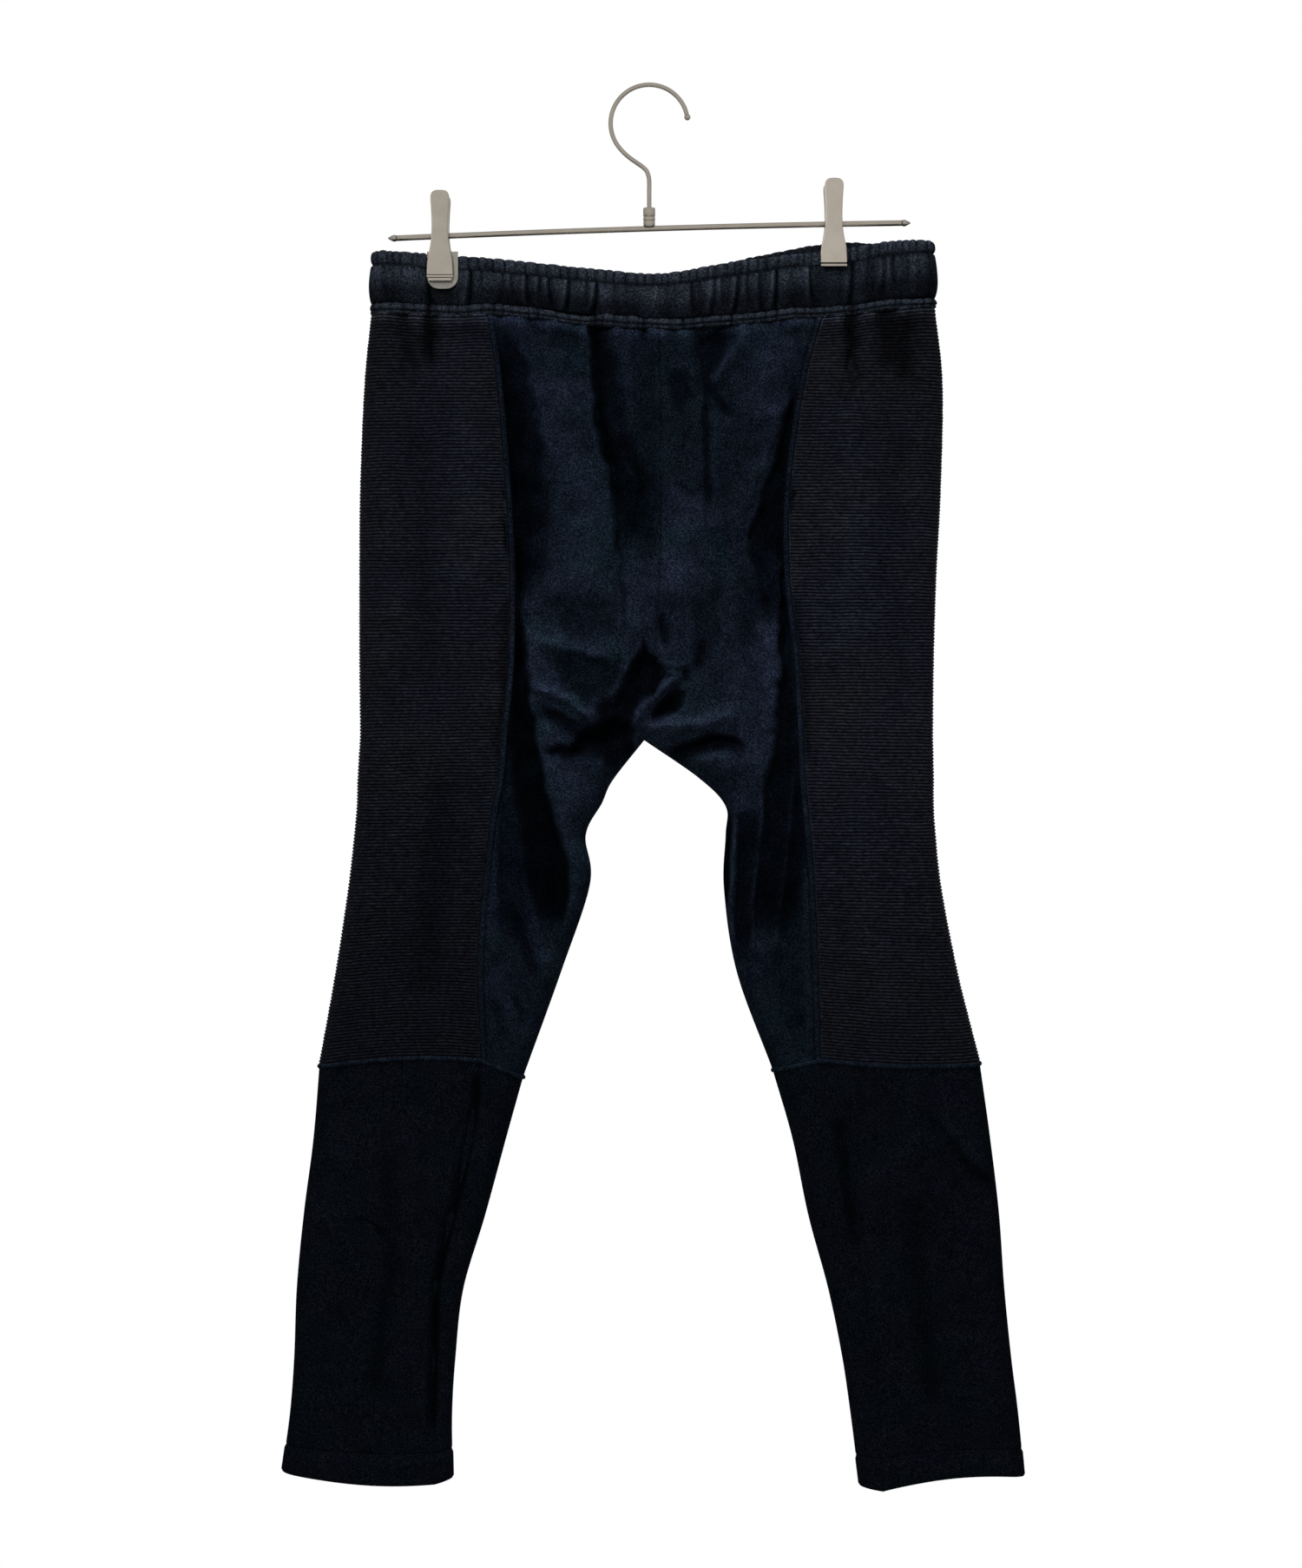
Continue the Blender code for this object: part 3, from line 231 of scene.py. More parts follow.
# Creases. rise is the height of the ridge, and is negative in a trough. The fold dies away over west on one
# side of its path and east on the other: true west and east where the path runs down, and below and above
# where it runs right.
Fold = namedtuple("Fold", "rise west east path")
FRONT_FOLDS = [
    # beside the left side seam
    Fold(2.5, 2.0, 14.0, [(-88, -385), (-84, -437), (-77, -486), (-68, -522), (-60, -548), (-50, -572)]),
    Fold(4.0, 20.0, 20.0, [(-62, -212), (-58, -270), (-52, -330), (-50, -378)]),
    Fold(-2.6, 8.0, 6.0, [(-78, -182), (-60, -184), (-44, -187)]),
    Fold(2.4, 3.0, 4.0, [(-96, -172), (-82, -222), (-70, -280)]),
    # the fold that drops from the waist left of the centre seam
    Fold(2.1, 16.0, 2.0, [(-46, -174), (-44, -224), (-40, -258), (-33, -276), (-28, -312), (-25, -345)]),
    Fold(-5.0, 2.0, 6.0, [(-41, -146), (-40, -180), (-38, -222), (-35, -250), (-29, -272), (-23, -306)]),
    Fold(0.5, 2.2, 3.0, [(-24, -160), (-20, -190), (-15, -222), (-10, -250), (-5, -272)]),
    Fold(-1.6, 2.0, 2.4, [(-14, -262), (-8, -286), (-2, -306)]),
    Fold(2.4, 2.0, 2.4, [(-24, -262), (-16, -276), (-7, -292)]),
    Fold(-4.0, 2.0, 3.0, [(-4, -150), (-3, -190)]),
    Fold(-2.6, 1.6, 2.0, [(-23, -318), (-20, -360), (-17, -400)]),
    Fold(2.5, 10.0, 10.0, [(-14, -345), (-12, -385), (-10, -402)]),
    # creases fanning from the fork on the left
    Fold(5.0, 4.0, 6.0, [(-86, -401), (-55, -408), (-22, -417)]),
    Fold(2.8, 1.8, 2.6, [(-10, -406), (-16, -421), (-24, -436), (-36, -448)]),
    Fold(5.4, 2.6, 4.6, [(-90, -433), (-72, -440), (-60, -446), (-45, -456), (-32, -465)]),
    Fold(-5.0, 8.0, 3.0, [(-82, -447), (-62, -458), (-46, -466)]),
    Fold(-7.5, 6.0, 6.0, [(-58, -474), (-34, -470), (-10, -465)]),
    Fold(-5.5, 5.0, 4.0, [(-78, -485), (-64, -480), (-48, -485)]),
    Fold(-6.0, 6.0, 6.0, [(-34, -488), (-20, -490)]),
    Fold(4.0, 11.0, 11.0, [(-62, -498), (-50, -530)]),
    Fold(3.2, 11.0, 10.0, [(-74, -622), (-68, -650)]),
    Fold(-1.8, 4.0, 4.0, [(-112, -660), (-106, -692)]),
    Fold(-2.6, 5.0, 4.0, [(-102, -590), (-91, -620), (-80, -650)]),
    Fold(-2.0, 2.4, 3.0, [(-98, -656), (-90, -684)]),
    # right of the centre seam
    Fold(-3.0, 6.0, 5.0, [(38, -184), (57, -186)]),
    Fold(4.4, 3.0, 8.0, [(70, -178), (58, -197), (44, -219)]),
    Fold(-3.4, 1.8, 2.2, [(40, -214), (41, -260), (42, -300), (43, -320)]),
    Fold(-3.4, 2.2, 2.2, [(42, -220), (62, -244)]),
    Fold(2.2, 2.0, 3.0, [(46, -236), (47, -280), (47, -310)]),
    Fold(-2.4, 2.6, 2.0, [(30, -246), (22, -268)]),
    Fold(6.5, 15.0, 17.0, [(34, -296), (24, -340), (15, -378)]),
    Fold(4.0, 16.0, 13.0, [(97, -178), (84, -215), (74, -250)]),
    Fold(2.4, 12.0, 2.4, [(98, -228), (86, -266), (72, -301), (64, -326)]),
    Fold(-2.2, 5.0, 4.0, [(66, -334), (76, -342), (86, -358)]),
    Fold(-1.6, 4.0, 3.0, [(68, -364), (78, -368), (88, -380)]),
    Fold(3.0, 5.0, 4.0, [(80, -382), (86, -410), (86, -440)]),
    Fold(3.0, 12.0, 2.0, [(91, -385), (92, -421), (89, -457), (86, -485), (80, -510)]),
    Fold(3.4, 2.6, 2.0, [(81, -510), (82, -534), (80, -554), (76, -578), (72, -600)]),
    Fold(3.0, 2.4, 3.0, [(104, -490), (101, -540), (95, -590), (90, -630)]),
    Fold(5.0, 1.4, 1.8, [(61, -518), (63, -534), (61, -547), (60, -562), (58, -598), (60, -625)]),
    Fold(-4.0, 2.0, 3.0, [(7, -380), (10, -396), (13, -410)]),
    Fold(-4.0, 2.6, 3.4, [(41, -402), (33, -424)]),
    Fold(2.6, 1.8, 1.8, [(51, -368), (52, -394)]),
    Fold(-3.0, 2.0, 3.0, [(25, -420), (26, -434)]),
    # creases fanning from the fork on the right
    Fold(2.6, 1.5, 1.8, [(5, -416), (24, -421)]),
    Fold(2.2, 1.4, 1.6, [(8, -424), (23, -427)]),
    Fold(6.8, 2.6, 6.0, [(26, -428), (8, -437), (-3, -445), (-9, -455), (-10, -466)]),
    Fold(6.0, 6.0, 6.0, [(-8, -464), (16, -465), (38, -461), (66, -455)]),
    Fold(-7.0, 10.0, 2.6, [(12, -484), (26, -477), (44, -473), (60, -473), (72, -479)]),
    Fold(4.5, 5.0, 5.0, [(28, -490), (48, -486), (64, -492)]),
    Fold(-1.8, 5.0, 5.0, [(34, -490), (50, -500), (68, -512)]),
    Fold(3.0, 6.0, 6.0, [(60, -512), (70, -530)]),
    # side panels
    Fold(-9.0, 3.6, 4.0, [(-161, -142), (-160, -176), (-158, -206)]),
    Fold(-2.5, 10.0, 5.0, [(-176, -160), (-170, -213)]),
    Fold(-9.0, 3.2, 4.0, [(147, -136), (145, -180), (148, -222)]),
    Fold(-4.0, 6.0, 8.0, [(168, -150), (172, -186), (170, -210)]),
    Fold(-3.2, 7.0, 8.0, [(184, -162), (185, -193), (184, -222)]),
    Fold(1.6, 14.0, 14.0, [(-134, -180), (-130, -260), (-136, -370)]),
    Fold(-0.8, 12.0, 12.0, [(-168, -250), (-160, -350), (-165, -440)]),
    Fold(1.5, 12.0, 12.0, [(140, -230), (150, -300), (142, -420)]),
    Fold(-0.7, 10.0, 10.0, [(178, -240), (172, -340), (182, -460)]),
    Fold(-1.5, 12.0, 12.0, [(-148, -500), (-154, -580), (-168, -660)]),
    Fold(1.4, 12.0, 12.0, [(150, -520), (160, -600), (176, -680)]),
    # lower legs
    Fold(-4.2, 4.0, 2.4, [
        (-123, -712), (-127.5, -750), (-135, -790), (-142, -817), (-149.5, -848), (-154, -871),
        (-155.2, -920), (-156.5, -975),
    ]),
    Fold(-2.6, 1.8, 2.6, [(-212, -818), (-198, -826), (-190, -836)]),
    Fold(-1.6, 6.0, 6.0, [(-190, -770), (-186, -850), (-200, -950)]),
    Fold(1.6, 7.0, 8.0, [(-225, -740), (-228, -830)]),
    Fold(-2.4, 3.0, 2.0, [(201, -743), (227, -777), (250, -797)]),
    Fold(2.4, 2.0, 10.0, [(204, -740), (230, -774), (253, -793)]),
    Fold(-2.4, 4.0, 6.0, [(135, -744), (142, -802), (149, -844)]),
    Fold(-1.6, 8.0, 8.0, [(190, -800), (196, -880), (206, -960)]),
]
BACK_FOLDS = [
    Fold(-8.0, 4.5, 9.0, [(-108, -168), (-98, -240), (-94, -320), (-96, -420), (-90, -470)]),
    Fold(-8.0, 9.0, 3.0, [(-94, -440), (-86, -500), (-74, -560), (-66, -600)]),
    Fold(3.2, 2.2, 13.0, [(-89, -400), (-84, -470), (-76, -520), (-60, -566)]),
    Fold(4.5, 18.0, 18.0, [(-70, -200), (-56, -290), (-52, -390)]),
    Fold(-4.0, 2.6, 13.0, [(-36, -172), (-32, -240), (-24, -300)]),
    Fold(3.4, 15.0, 2.4, [(-41, -174), (-37, -240), (-29, -318)]),
    Fold(-8.0, 10.0, 3.5, [(107, -176), (99, -240), (94, -320), (98, -430), (94, -480)]),
    Fold(-8.0, 3.0, 10.0, [(97, -440), (94, -500), (88, -560), (82, -604)]),
    Fold(4.5, 18.0, 18.0, [(80, -195), (62, -290), (58, -390)]),
    Fold(-3.6, 11.0, 2.6, [(44, -176), (38, -240), (33, -296)]),
    Fold(-3.4, 2.4, 3.0, [(74, -172), (70, -204)]),
    Fold(-3.4, 2.4, 3.0, [(-68, -172), (-66, -200)]),
    Fold(-5.0, 4.0, 6.0, [(4, -398), (0, -440), (-4, -466)]),
    Fold(5.0, 3.0, 4.0, [(-84, -436), (-56, -446), (-26, -464)]),
    Fold(-6.0, 4.0, 4.0, [(-74, -454), (-46, -462), (-20, -476)]),
    Fold(5.0, 4.0, 3.0, [(20, -462), (54, -446), (86, -438)]),
    Fold(-6.0, 4.0, 4.0, [(26, -478), (54, -462), (82, -456)]),
    Fold(3.6, 4.0, 5.0, [(-80, -404), (-50, -408), (-20, -424)]),
    Fold(3.4, 5.0, 4.0, [(24, -420), (56, -402), (84, -398)]),
    Fold(3.2, 9.0, 9.0, [(-62, -505), (-66, -560), (-80, -640)]),
    Fold(3.2, 9.0, 9.0, [(72, -505), (76, -560), (90, -640)]),
    Fold(-3.0, 7.0, 7.0, [(-98, -590), (-88, -640), (-80, -670)]),
    Fold(-5.0, 2.6, 2.6, [(-158, -166), (-157, -194)]),
    Fold(-5.0, 2.6, 2.6, [(140, -162), (141, -190)]),
    Fold(1.6, 14.0, 14.0, [(-140, -200), (-134, -300), (-144, -420)]),
    Fold(1.6, 14.0, 14.0, [(150, -200), (144, -300), (154, -420)]),
    Fold(-1.5, 12.0, 12.0, [(-176, -260), (-170, -380), (-180, -500)]),
    Fold(-1.5, 12.0, 12.0, [(184, -260), (176, -380), (186, -500)]),
    Fold(-3.0, 4.0, 3.0, [(-122, -724), (-134, -790), (-152, -860)]),
    Fold(-2.4, 3.0, 4.0, [(134, -740), (143, -800), (152, -860)]),
    Fold(-2.2, 3.0, 2.0, [(-238, -790), (-212, -772), (-190, -740)]),
    Fold(-2.2, 2.0, 3.0, [(196, -745), (220, -782), (244, -800)]),
    Fold(-1.6, 8.0, 8.0, [(-204, -850), (-212, -950)]),
    Fold(-1.6, 8.0, 8.0, [(206, -850), (214, -950)]),
]

# Broad hollows. Each row is a height with the x of its two edges, and west and east are the edges' softness.
Hollow = namedtuple("Hollow", "rise west east rows")
FRONT_HOLLOWS = [
    # the long valley beside the left side seam: wide at the hip, a slit at the seat, and wide down the thigh
    Hollow(-4.6, 4, 22, [
        (-166, -115, -106), (-209, -110, -88), (-268, -105, -76), (-318, -104, -70), (-350, -102, -76),
        (-384, -99, -90),
    ]),
    Hollow(-4.0, 3, 12, [
        (-186, -111, -107), (-225, -109, -99), (-268, -105, -90), (-318, -104, -88), (-350, -101, -88),
        (-376, -99, -91),
    ]),
    Hollow(-5.0, 3, 3, [(-318, -101, -94), (-340, -99, -92), (-400, -99, -92), (-432, -101, -90)]),
    Hollow(-9.0, 10, 4, [
        (-385, -99, -91), (-405, -100, -90), (-437, -101, -87), (-476, -99, -82), (-511, -95, -75),
        (-535, -92, -68), (-563, -88, -59), (-582, -85, -58), (-600, -80, -61), (-618, -74, -65),
    ]),
    Hollow(-3.0, 4, 14, [(-420, -104, -92), (-520, -108, -85), (-580, -109, -84), (-630, -107, -92)]),
    # the fold left of the centre seam
    Hollow(-1.6, 10, 2, [(-172, -62, -47), (-215, -58, -45), (-255, -50, -41), (-290, -40, -32)]),
    Hollow(-3.6, 2.4, 14, [
        (-150, -44, -34), (-177, -43, -30), (-209, -42, -23), (-248, -39, -16), (-264, -36, -12),
        (-278, -29, -7), (-309, -25, -5), (-345, -21, -12),
    ]),
    Hollow(-1.3, 8, 5, [(-168, -14, 4), (-215, -12, 5), (-270, -10, 6), (-350, -4, 6)]),
    Hollow(-1.3, 9, 8, [
        (-246, -34, -20), (-270, -32, -10), (-290, -28, 4), (-312, -20, 6), (-335, -10, 6), (-370, 1, 6),
    ]),
    # the pit above the fork, and the shaded cloth round it
    Hollow(-8.0, 4, 3, [
        (-396, -4, -2), (-404, -5, -2), (-412, -7, 0), (-418, -11, 6), (-425, -15, 12), (-433, -17, 8),
        (-440, -20, 3), (-448, -24, -3), (-460, -27, -9),
    ]),
    Hollow(-5.5, 9, 4, [(-436, -30, -8), (-448, -36, -8), (-460, -38, -12), (-482, -40, -16)]),
    Hollow(-7.5, 9, 5, [(-458, -38, -14), (-468, -50, -10), (-480, -56, -13), (-492, -46, -22)]),
    Hollow(-2.6, 12, 12, [(-404, -62, -32), (-416, -68, -22), (-434, -62, -20), (-454, -46, -24)]),
    Hollow(-2.0, 16, 16, [(-356, -64, -42), (-378, -72, -30), (-392, -66, -26), (-406, -50, -26)]),
    Hollow(-5.8, 4, 3.5, [(-428, 19, 21), (-439, 13, 25), (-449, 4, 24), (-455, 2, 19), (-464, 4, 8)]),
    Hollow(-2.0, 10, 8, [(-350, 42, 52), (-380, 33, 54), (-405, 31, 48), (-434, 26, 40)]),
    Hollow(-2.0, 10, 10, [(-335, 66, 86), (-370, 64, 90), (-400, 66, 88), (-424, 72, 82)]),
    # the hollow under the right of the waist, the dimple beside it, and the triangle by the right side seam
    Hollow(-3.2, 12, 7, [(-160, 32, 60), (-176, 31, 60), (-188, 32, 57), (-205, 35, 48), (-232, 38, 42)]),
    Hollow(-2.5, 8, 6, [(-204, 18, 26), (-216, 13, 30), (-227, 15, 30), (-242, 20, 26)]),
    Hollow(-6.0, 4, 3, [
        (-208, 103, 108), (-233, 101, 106), (-268, 92, 105), (-304, 79, 103), (-328, 71, 101),
        (-352, 79, 100),
    ]),
    Hollow(-2.6, 5, 5, [(-318, 70, 100), (-340, 73, 100), (-362, 79, 100), (-400, 86, 99)]),
    Hollow(-8.0, 3, 2.5, [(-330, 95, 101), (-365, 96, 100), (-405, 95, 101)]),
    Hollow(-5.6, 3, 10, [
        (-378, 93, 101), (-393, 93, 102), (-421, 95, 104), (-457, 93, 106), (-485, 90, 108),
        (-510, 84, 110), (-538, 81, 112), (-561, 78, 111), (-590, 76, 107), (-624, 76, 99),
    ]),
    Hollow(-4.6, 3.5, 4, [
        (-516, 68, 74), (-532, 65, 78), (-550, 64, 79), (-575, 63, 77), (-605, 62, 74), (-640, 64, 69),
    ]),
    Hollow(-1.6, 10, 8, [(-560, 80, 112), (-640, 88, 112), (-700, 104, 114)]),
    # the gap where the front's inner edge stands off the back layer
    Hollow(-9.0, 2, 1.6, [
        (-512, 46, 55), (-524, 46, 58), (-536, 46, 60.5), (-545, 46, 59), (-562, 46, 58), (-592, 46, 57),
        (-612, 46, 56),
    ]),
]
BACK_HOLLOWS = [
    Hollow(-5.5, 4, 18, [
        (-170, -112, -104), (-250, -104, -86), (-330, -101, -82), (-410, -101, -88), (-440, -102, -92),
    ]),
    Hollow(-9.0, 8, 3, [
        (-400, -100, -90), (-470, -101, -84), (-530, -96, -70), (-580, -90, -58), (-630, -86, -66),
    ]),
    Hollow(-3.6, 3, 14, [(-172, -42, -26), (-230, -38, -18), (-290, -30, -10), (-330, -26, -12)]),
    Hollow(-5.5, 16, 4, [
        (-172, 98, 106), (-250, 84, 104), (-330, 80, 101), (-410, 88, 101), (-440, 92, 103),
    ]),
    Hollow(-9.0, 3, 8, [(-400, 91, 102), (-470, 88, 106), (-530, 80, 110), (-580, 74, 112), (-630, 80, 108)]),
    Hollow(-5.0, 8, 8, [(-392, 1, 8), (-425, -6, 8), (-450, -12, 4), (-474, -14, 2)]),
]

# The elastic casing's creases: where each crosses, how deep it cuts, and the ridge beside it on its left
Crease = namedtuple("Crease", "x depth ridge width")
FRONT_CREASES = [Crease(*row) for row in (
    (-191, 0.8, 0.2, 2.2), (-179, 0.6, 0.3, 2.4), (-160, 2.4, 0.6, 1.8), (-129, 2.2, 1.6, 1.5),
    (-121, 1.0, 0.7, 1.4), (-106, 0.8, 0.6, 1.6), (-99, 1.0, 0.8, 1.4), (-88, 1.6, 1.2, 1.4),
    (-79, 1.6, 1.2, 1.3), (-72, 1.5, 1.1, 1.3), (-58, 2.2, 1.6, 1.4), (-45, 0.7, 0.5, 1.4),
    (-38, 2.4, 1.7, 1.5), (-16, 0.5, 0.3, 1.8), (8, 0.5, 0.3, 1.6), (19, 0.8, 0.4, 1.5),
    (31, 1.4, 0.6, 1.4), (47, 1.4, 1.0, 1.4), (53, 1.0, 0.7, 1.3), (64, 1.8, 1.5, 1.4),
    (71, 1.0, 0.8, 1.3), (80, 1.2, 0.9, 1.3), (92, 2.2, 1.7, 1.5), (117, 2.0, 1.5, 1.5),
    (147, 2.6, 0.7, 1.7), (158, 0.7, 0.4, 1.5), (170, 1.0, 0.7, 1.5), (176, 1.6, 1.0, 1.4),
    (194, 0.6, 0.3, 2.0),
)]
BACK_CREASES = [Crease(*row) for row in (
    (-186, 0.8, 0.5, 2.0), (-172, 1.2, 0.8, 1.6), (-156, 2.2, 0.7, 1.8), (-134, 1.6, 1.2, 1.5),
    (-118, 1.0, 0.8, 1.4), (-103, 2.0, 1.5, 1.4), (-91, 0.8, 0.6, 1.5), (-76, 1.4, 1.1, 1.3),
    (-66, 1.1, 0.9, 1.4), (-49, 2.1, 1.5, 1.4), (-31, 0.7, 0.5, 1.6), (-14, 1.3, 1.0, 1.4),
    (3, 0.6, 0.4, 1.8), (17, 1.8, 1.3, 1.4), (34, 1.0, 0.7, 1.5), (45, 1.3, 1.0, 1.3),
    (60, 2.0, 1.5, 1.4), (78, 0.9, 0.7, 1.4), (88, 1.6, 1.2, 1.4), (106, 1.0, 0.8, 1.5),
    (121, 1.8, 1.2, 1.4), (142, 2.4, 0.8, 1.7), (157, 1.0, 0.7, 1.5), (172, 1.4, 1.0, 1.4),
    (190, 0.7, 0.4, 2.0),
)]

# How far each crease leans to the right on its way down, and the share of the casing where it starts to fade
CREASE_LEAN = [(2.5, 0.9), (-2.0, 0.35), (3.5, 0.7), (-3.0, 0.95), (1.0, 0.45), (-4.0, 0.8), (4.5, 0.5)]

# Gathers of the waist: the seed of their uneven spacing and their pitch, of the heading, casing and seam band
HEADING_PUFFS = (11, 6.6)
CASING_PUCKERS = (23, 4.4)
CASING_BULGES = (47, 21.0)
BAND_PUCKERS = (31, 7.4)

# A ring of the waist: its share of the way from one line of the waist table to another, and how far out it is
Level = namedtuple("Level", "upper lower share out")

# Across the heading, from inside the top edge: share of its height, and how far out
HEADING_SECTION = [
    (0.02, -2.2), (-0.03, -1.2), (0.02, -0.2), (0.10, 0.5), (0.25, 1.0), (0.45, 1.2), (0.65, 1.1),
    (0.82, 0.6), (0.94, -0.2),
]

# The seam band laps over its two lines by these shares, and its stitches lie in a groove this far down
BAND_REACH = (-0.20, 1.42)
BAND_GROOVE = 0.60

# How far the seam band's upper edge is pushed up at the front: x, and the rise there
BAND_LOBES = [
    (-201, 0), (-84, 0), (-78, -1.0), (-44, -1.8), (-38, 0.8), (-31, 2.4), (-13, 2.2), (-5, 0.3), (2, 0),
    (207, 0),
]

# Where the seam band is drawn in by a crease: x, depth, width
BAND_DIPS = [
    (-160, -2.2, 3.0), (-80, -1.2, 1.8), (-39, -2.0, 2.2), (-4, -1.6, 1.8), (147, -2.2, 3.2),
    (-112, -0.9, 2.0), (92, -1.0, 2.0), (24, -0.7, 2.5), (120, -0.8, 2.2), (60, -0.8, 1.8),
]

# Down a clip's lever: height from the bar, half width, distance from the middle plane, and the flanges' depth
Lever = namedtuple("Lever", "height half_width out flange")
LEVER = [Lever(*row) for row in (
    (31.7, 2.6, 12.4, 0.7), (31.5, 3.8, 12.4, 0.8), (31.0, 4.9, 12.4, 1.0), (30.2, 5.8, 12.4, 1.4),
    (29.0, 6.5, 12.3, 1.9), (27.4, 6.85, 12.1, 2.4), (24.5, 6.85, 11.9, 3.0), (21.0, 6.6, 11.7, 3.7),
    (16.0, 6.3, 11.3, 4.8), (10.0, 6.1, 10.9, 5.6), (5.0, 6.05, 10.6, 6.6), (0.0, 6.2, 10.4, 7.2),
    (-4.0, 6.5, 10.2, 6.4), (-8.0, 7.05, 10.1, 5.5), (-12.0, 7.8, 10.0, 4.4), (-15.5, 8.6, 9.9, 3.5),
    (-18.5, 9.2, 9.8, 2.8), (-21.5, 9.55, 9.8, 2.2), (-25.0, 9.75, 9.7, 1.8), (-28.0, 9.8, 9.7, 1.4),
    (-28.9, 9.75, 9.6, 1.2),
)]

# Painted highlight across a lever's rounded corner: tones across it
LEVER_EDGE_PAINTED_HIGHLIGHT = [0.0, 0.1, 0.9, 0.1, 0.0]

# The pads, and the lips across a lever's foot: half width, top and foot from the bar, and corner radius
Plate = namedtuple("Plate", "half_width top foot corner")
CUSHION = {"l": Plate(8.2, -18.5, -31.4, 1.0), "r": Plate(8.4, -18.5, -31.2, 1.0)}
LIPS = {
    "l": [Plate(9.6, -29.3, -30.9, 0.4), Plate(8.6, -31.2, -33.4, 0.8)],
    "r": [Plate(9.5, -30.0, -31.7, 0.4)],
}
LINER = Plate(11.2, -12.0, -39.0, 8.5)

# How far from the middle plane the cushions' and jaws' faces, the lips' outside and the left clip's liner are
CUSHION_FACE = 5.6
JAW_FACE = 8.5
LIP_FACE = 9.5
LINER_BACK = 6.0
LINER_FRONT = 6.9

PLATE_BEVEL = 0.25
SPRING_TURNS = 6
SPRING_LENGTH = 8.8
SPRING_WIRE = 0.9

# The bar's turned ends: radius, and distance along the bar
BAR_TIP_LENGTH = 6
BAR_TIP = [(0, -0.2), (2.1, -0.2), (2.45, 0.2), (2.45, 1.5), (2.3, 1.9), (1.5, 3.6), (0.6, 5.3), (0, 5.6)]
# The ferrule's section: share of its radius, and height above its foot
FERRULE_FOOT = [
    (0.86, 0), (0.94, 0.4), (0.97, 2.6), (0.99, 3.6), (0.90, 3.9), (0.90, 4.2), (0.99, 4.5), (1, 6.6),
    (0.90, 6.9), (0.90, 7.3), (1, 7.6),
]

# One rib: share of its pitch, and its height there as a share of the rise
RIB_PROFILE = [(0.0, -0.25), (0.16, 0.62), (0.5, 1.0), (0.84, 0.62)]
# The first columns beside a side panel's seam, in millimetres from it
SIDE_COLUMNS = [0, 0.5, 1.1, 2.0, 3.2]

# Tones of the side panels: all over; a painted sheen along the outer edge; and painted shade in the strip
# beside the seams at the seat
SIDE_TONE = 0.46
OUTER_EDGE_PAINTED_SHEEN = 0.6
SEAT_PAINTED_SHADE = -1.1
SEAT_HEIGHTS = (-355, -500)

# The centre panels' rows, in parts of the distance between two measured ones
CENTRE_STEP = 0.03

# The camera stands square to the front. These and the lights are in metres
CAMERA_DISTANCE = 2.6
FRAME_HEIGHT = 1.1378
FRAME_CENTRE = (0.0013, -0.5053)
FLOOR_Z = -1.6
FLOOR_HALF = 2.2

Light = namedtuple("Light", "name at size power target")
LIGHTS = [
    Light("key", (-0.8, -1.5, 0.9), (0.6, 0.6), 34, (0, 0, -0.45)),
    Light("top", (0.3, -0.5, 1.0), (1.2, 0.6), 18, (0, 0, -0.3)),
    Light("fill", (1.5, -1.8, 0.3), (1.0, 1.0), 11, (0.1, 0, -0.5)),
    Light("back", (0.3, 2.2, 0.9), (2.0, 1.6), 75, (0, 0, -0.5)),
]


# ---------------------------------------------------------------- small maths


def smoothstep(t):
    t = np.clip(t, 0.0, 1.0)
    return t * t * (3 - 2 * t)


def mix(a, b, t):
    return a + (b - a) * t


def bump(distance, width):
    """1 on a line and nearly 0 at this width from it."""
    return np.exp(-2 * (distance / width) ** 2)


def unit(v):
    return v / np.maximum(np.linalg.norm(v, axis=-1, keepdims=True), 1e-12)


def height_tone(table, z):
    """A table of tones read at these heights."""
    heights, tones = zip(*sorted(table))
    return np.interp(z, heights, tones)


def ripple(x, z, wavelength, seed):
    """Smooth uneven swell, between about -1 and 1."""
    total = 0.0
    for k in range(5):
        angle = seed * 1.7 + k * 2.4
        wave = wavelength * (0.7 + 0.23 * k)
        along = x * math.cos(angle) + z * math.sin(angle)
        total = total + np.sin(2 * math.pi * along / wave + seed * (k + 1.3))
    return total / 3.2


def ripples(x, z, layers):
    """Ripples laid on one another, each from its rise, wavelength and seed."""
    return sum(rise * ripple(x, z, wavelength, seed) for rise, wavelength, seed in layers)


def waist_value(x, field):
    """A column of the waist table read at x, on a smooth curve through its entries."""
    xs = np.array([entry.x for entry in WAIST])
    values = np.array([getattr(entry, field) for entry in WAIST])
    slopes = np.gradient(values, xs)
    x = np.clip(x, xs[0], xs[-1])
    i = np.clip(np.searchsorted(xs, x, side="right") - 1, 0, len(xs) - 2)
    span = xs[i + 1] - xs[i]
    t = (x - xs[i]) / span
    t2, t3 = t * t, t * t * t
    start = (2 * t3 - 3 * t2 + 1) * values[i] + (t3 - 2 * t2 + t) * slopes[i] * span
    return start + (3 * t2 - 2 * t3) * values[i + 1] + (t3 - t2) * slopes[i + 1] * span


def edge_round(distance, radius):
    """Share of the full depth at this distance from an edge fold: a quarter circle, then flat."""
    t = np.clip(distance / radius, 0.0, 1.0)
    return np.sqrt(np.maximum(1 - (1 - t) ** 2, 0))


def pinch(x, z):
    """How strongly the clips press the two sides together."""
    fade = 1 - smoothstep((waist_value(x, "band_foot") - z) / PINCH_REACH)
    return fade * np.maximum(*[np.exp(-(((x - at) / CLIP_PINCH_WIDTH) ** 4)) for at in CLIP_X.values()])


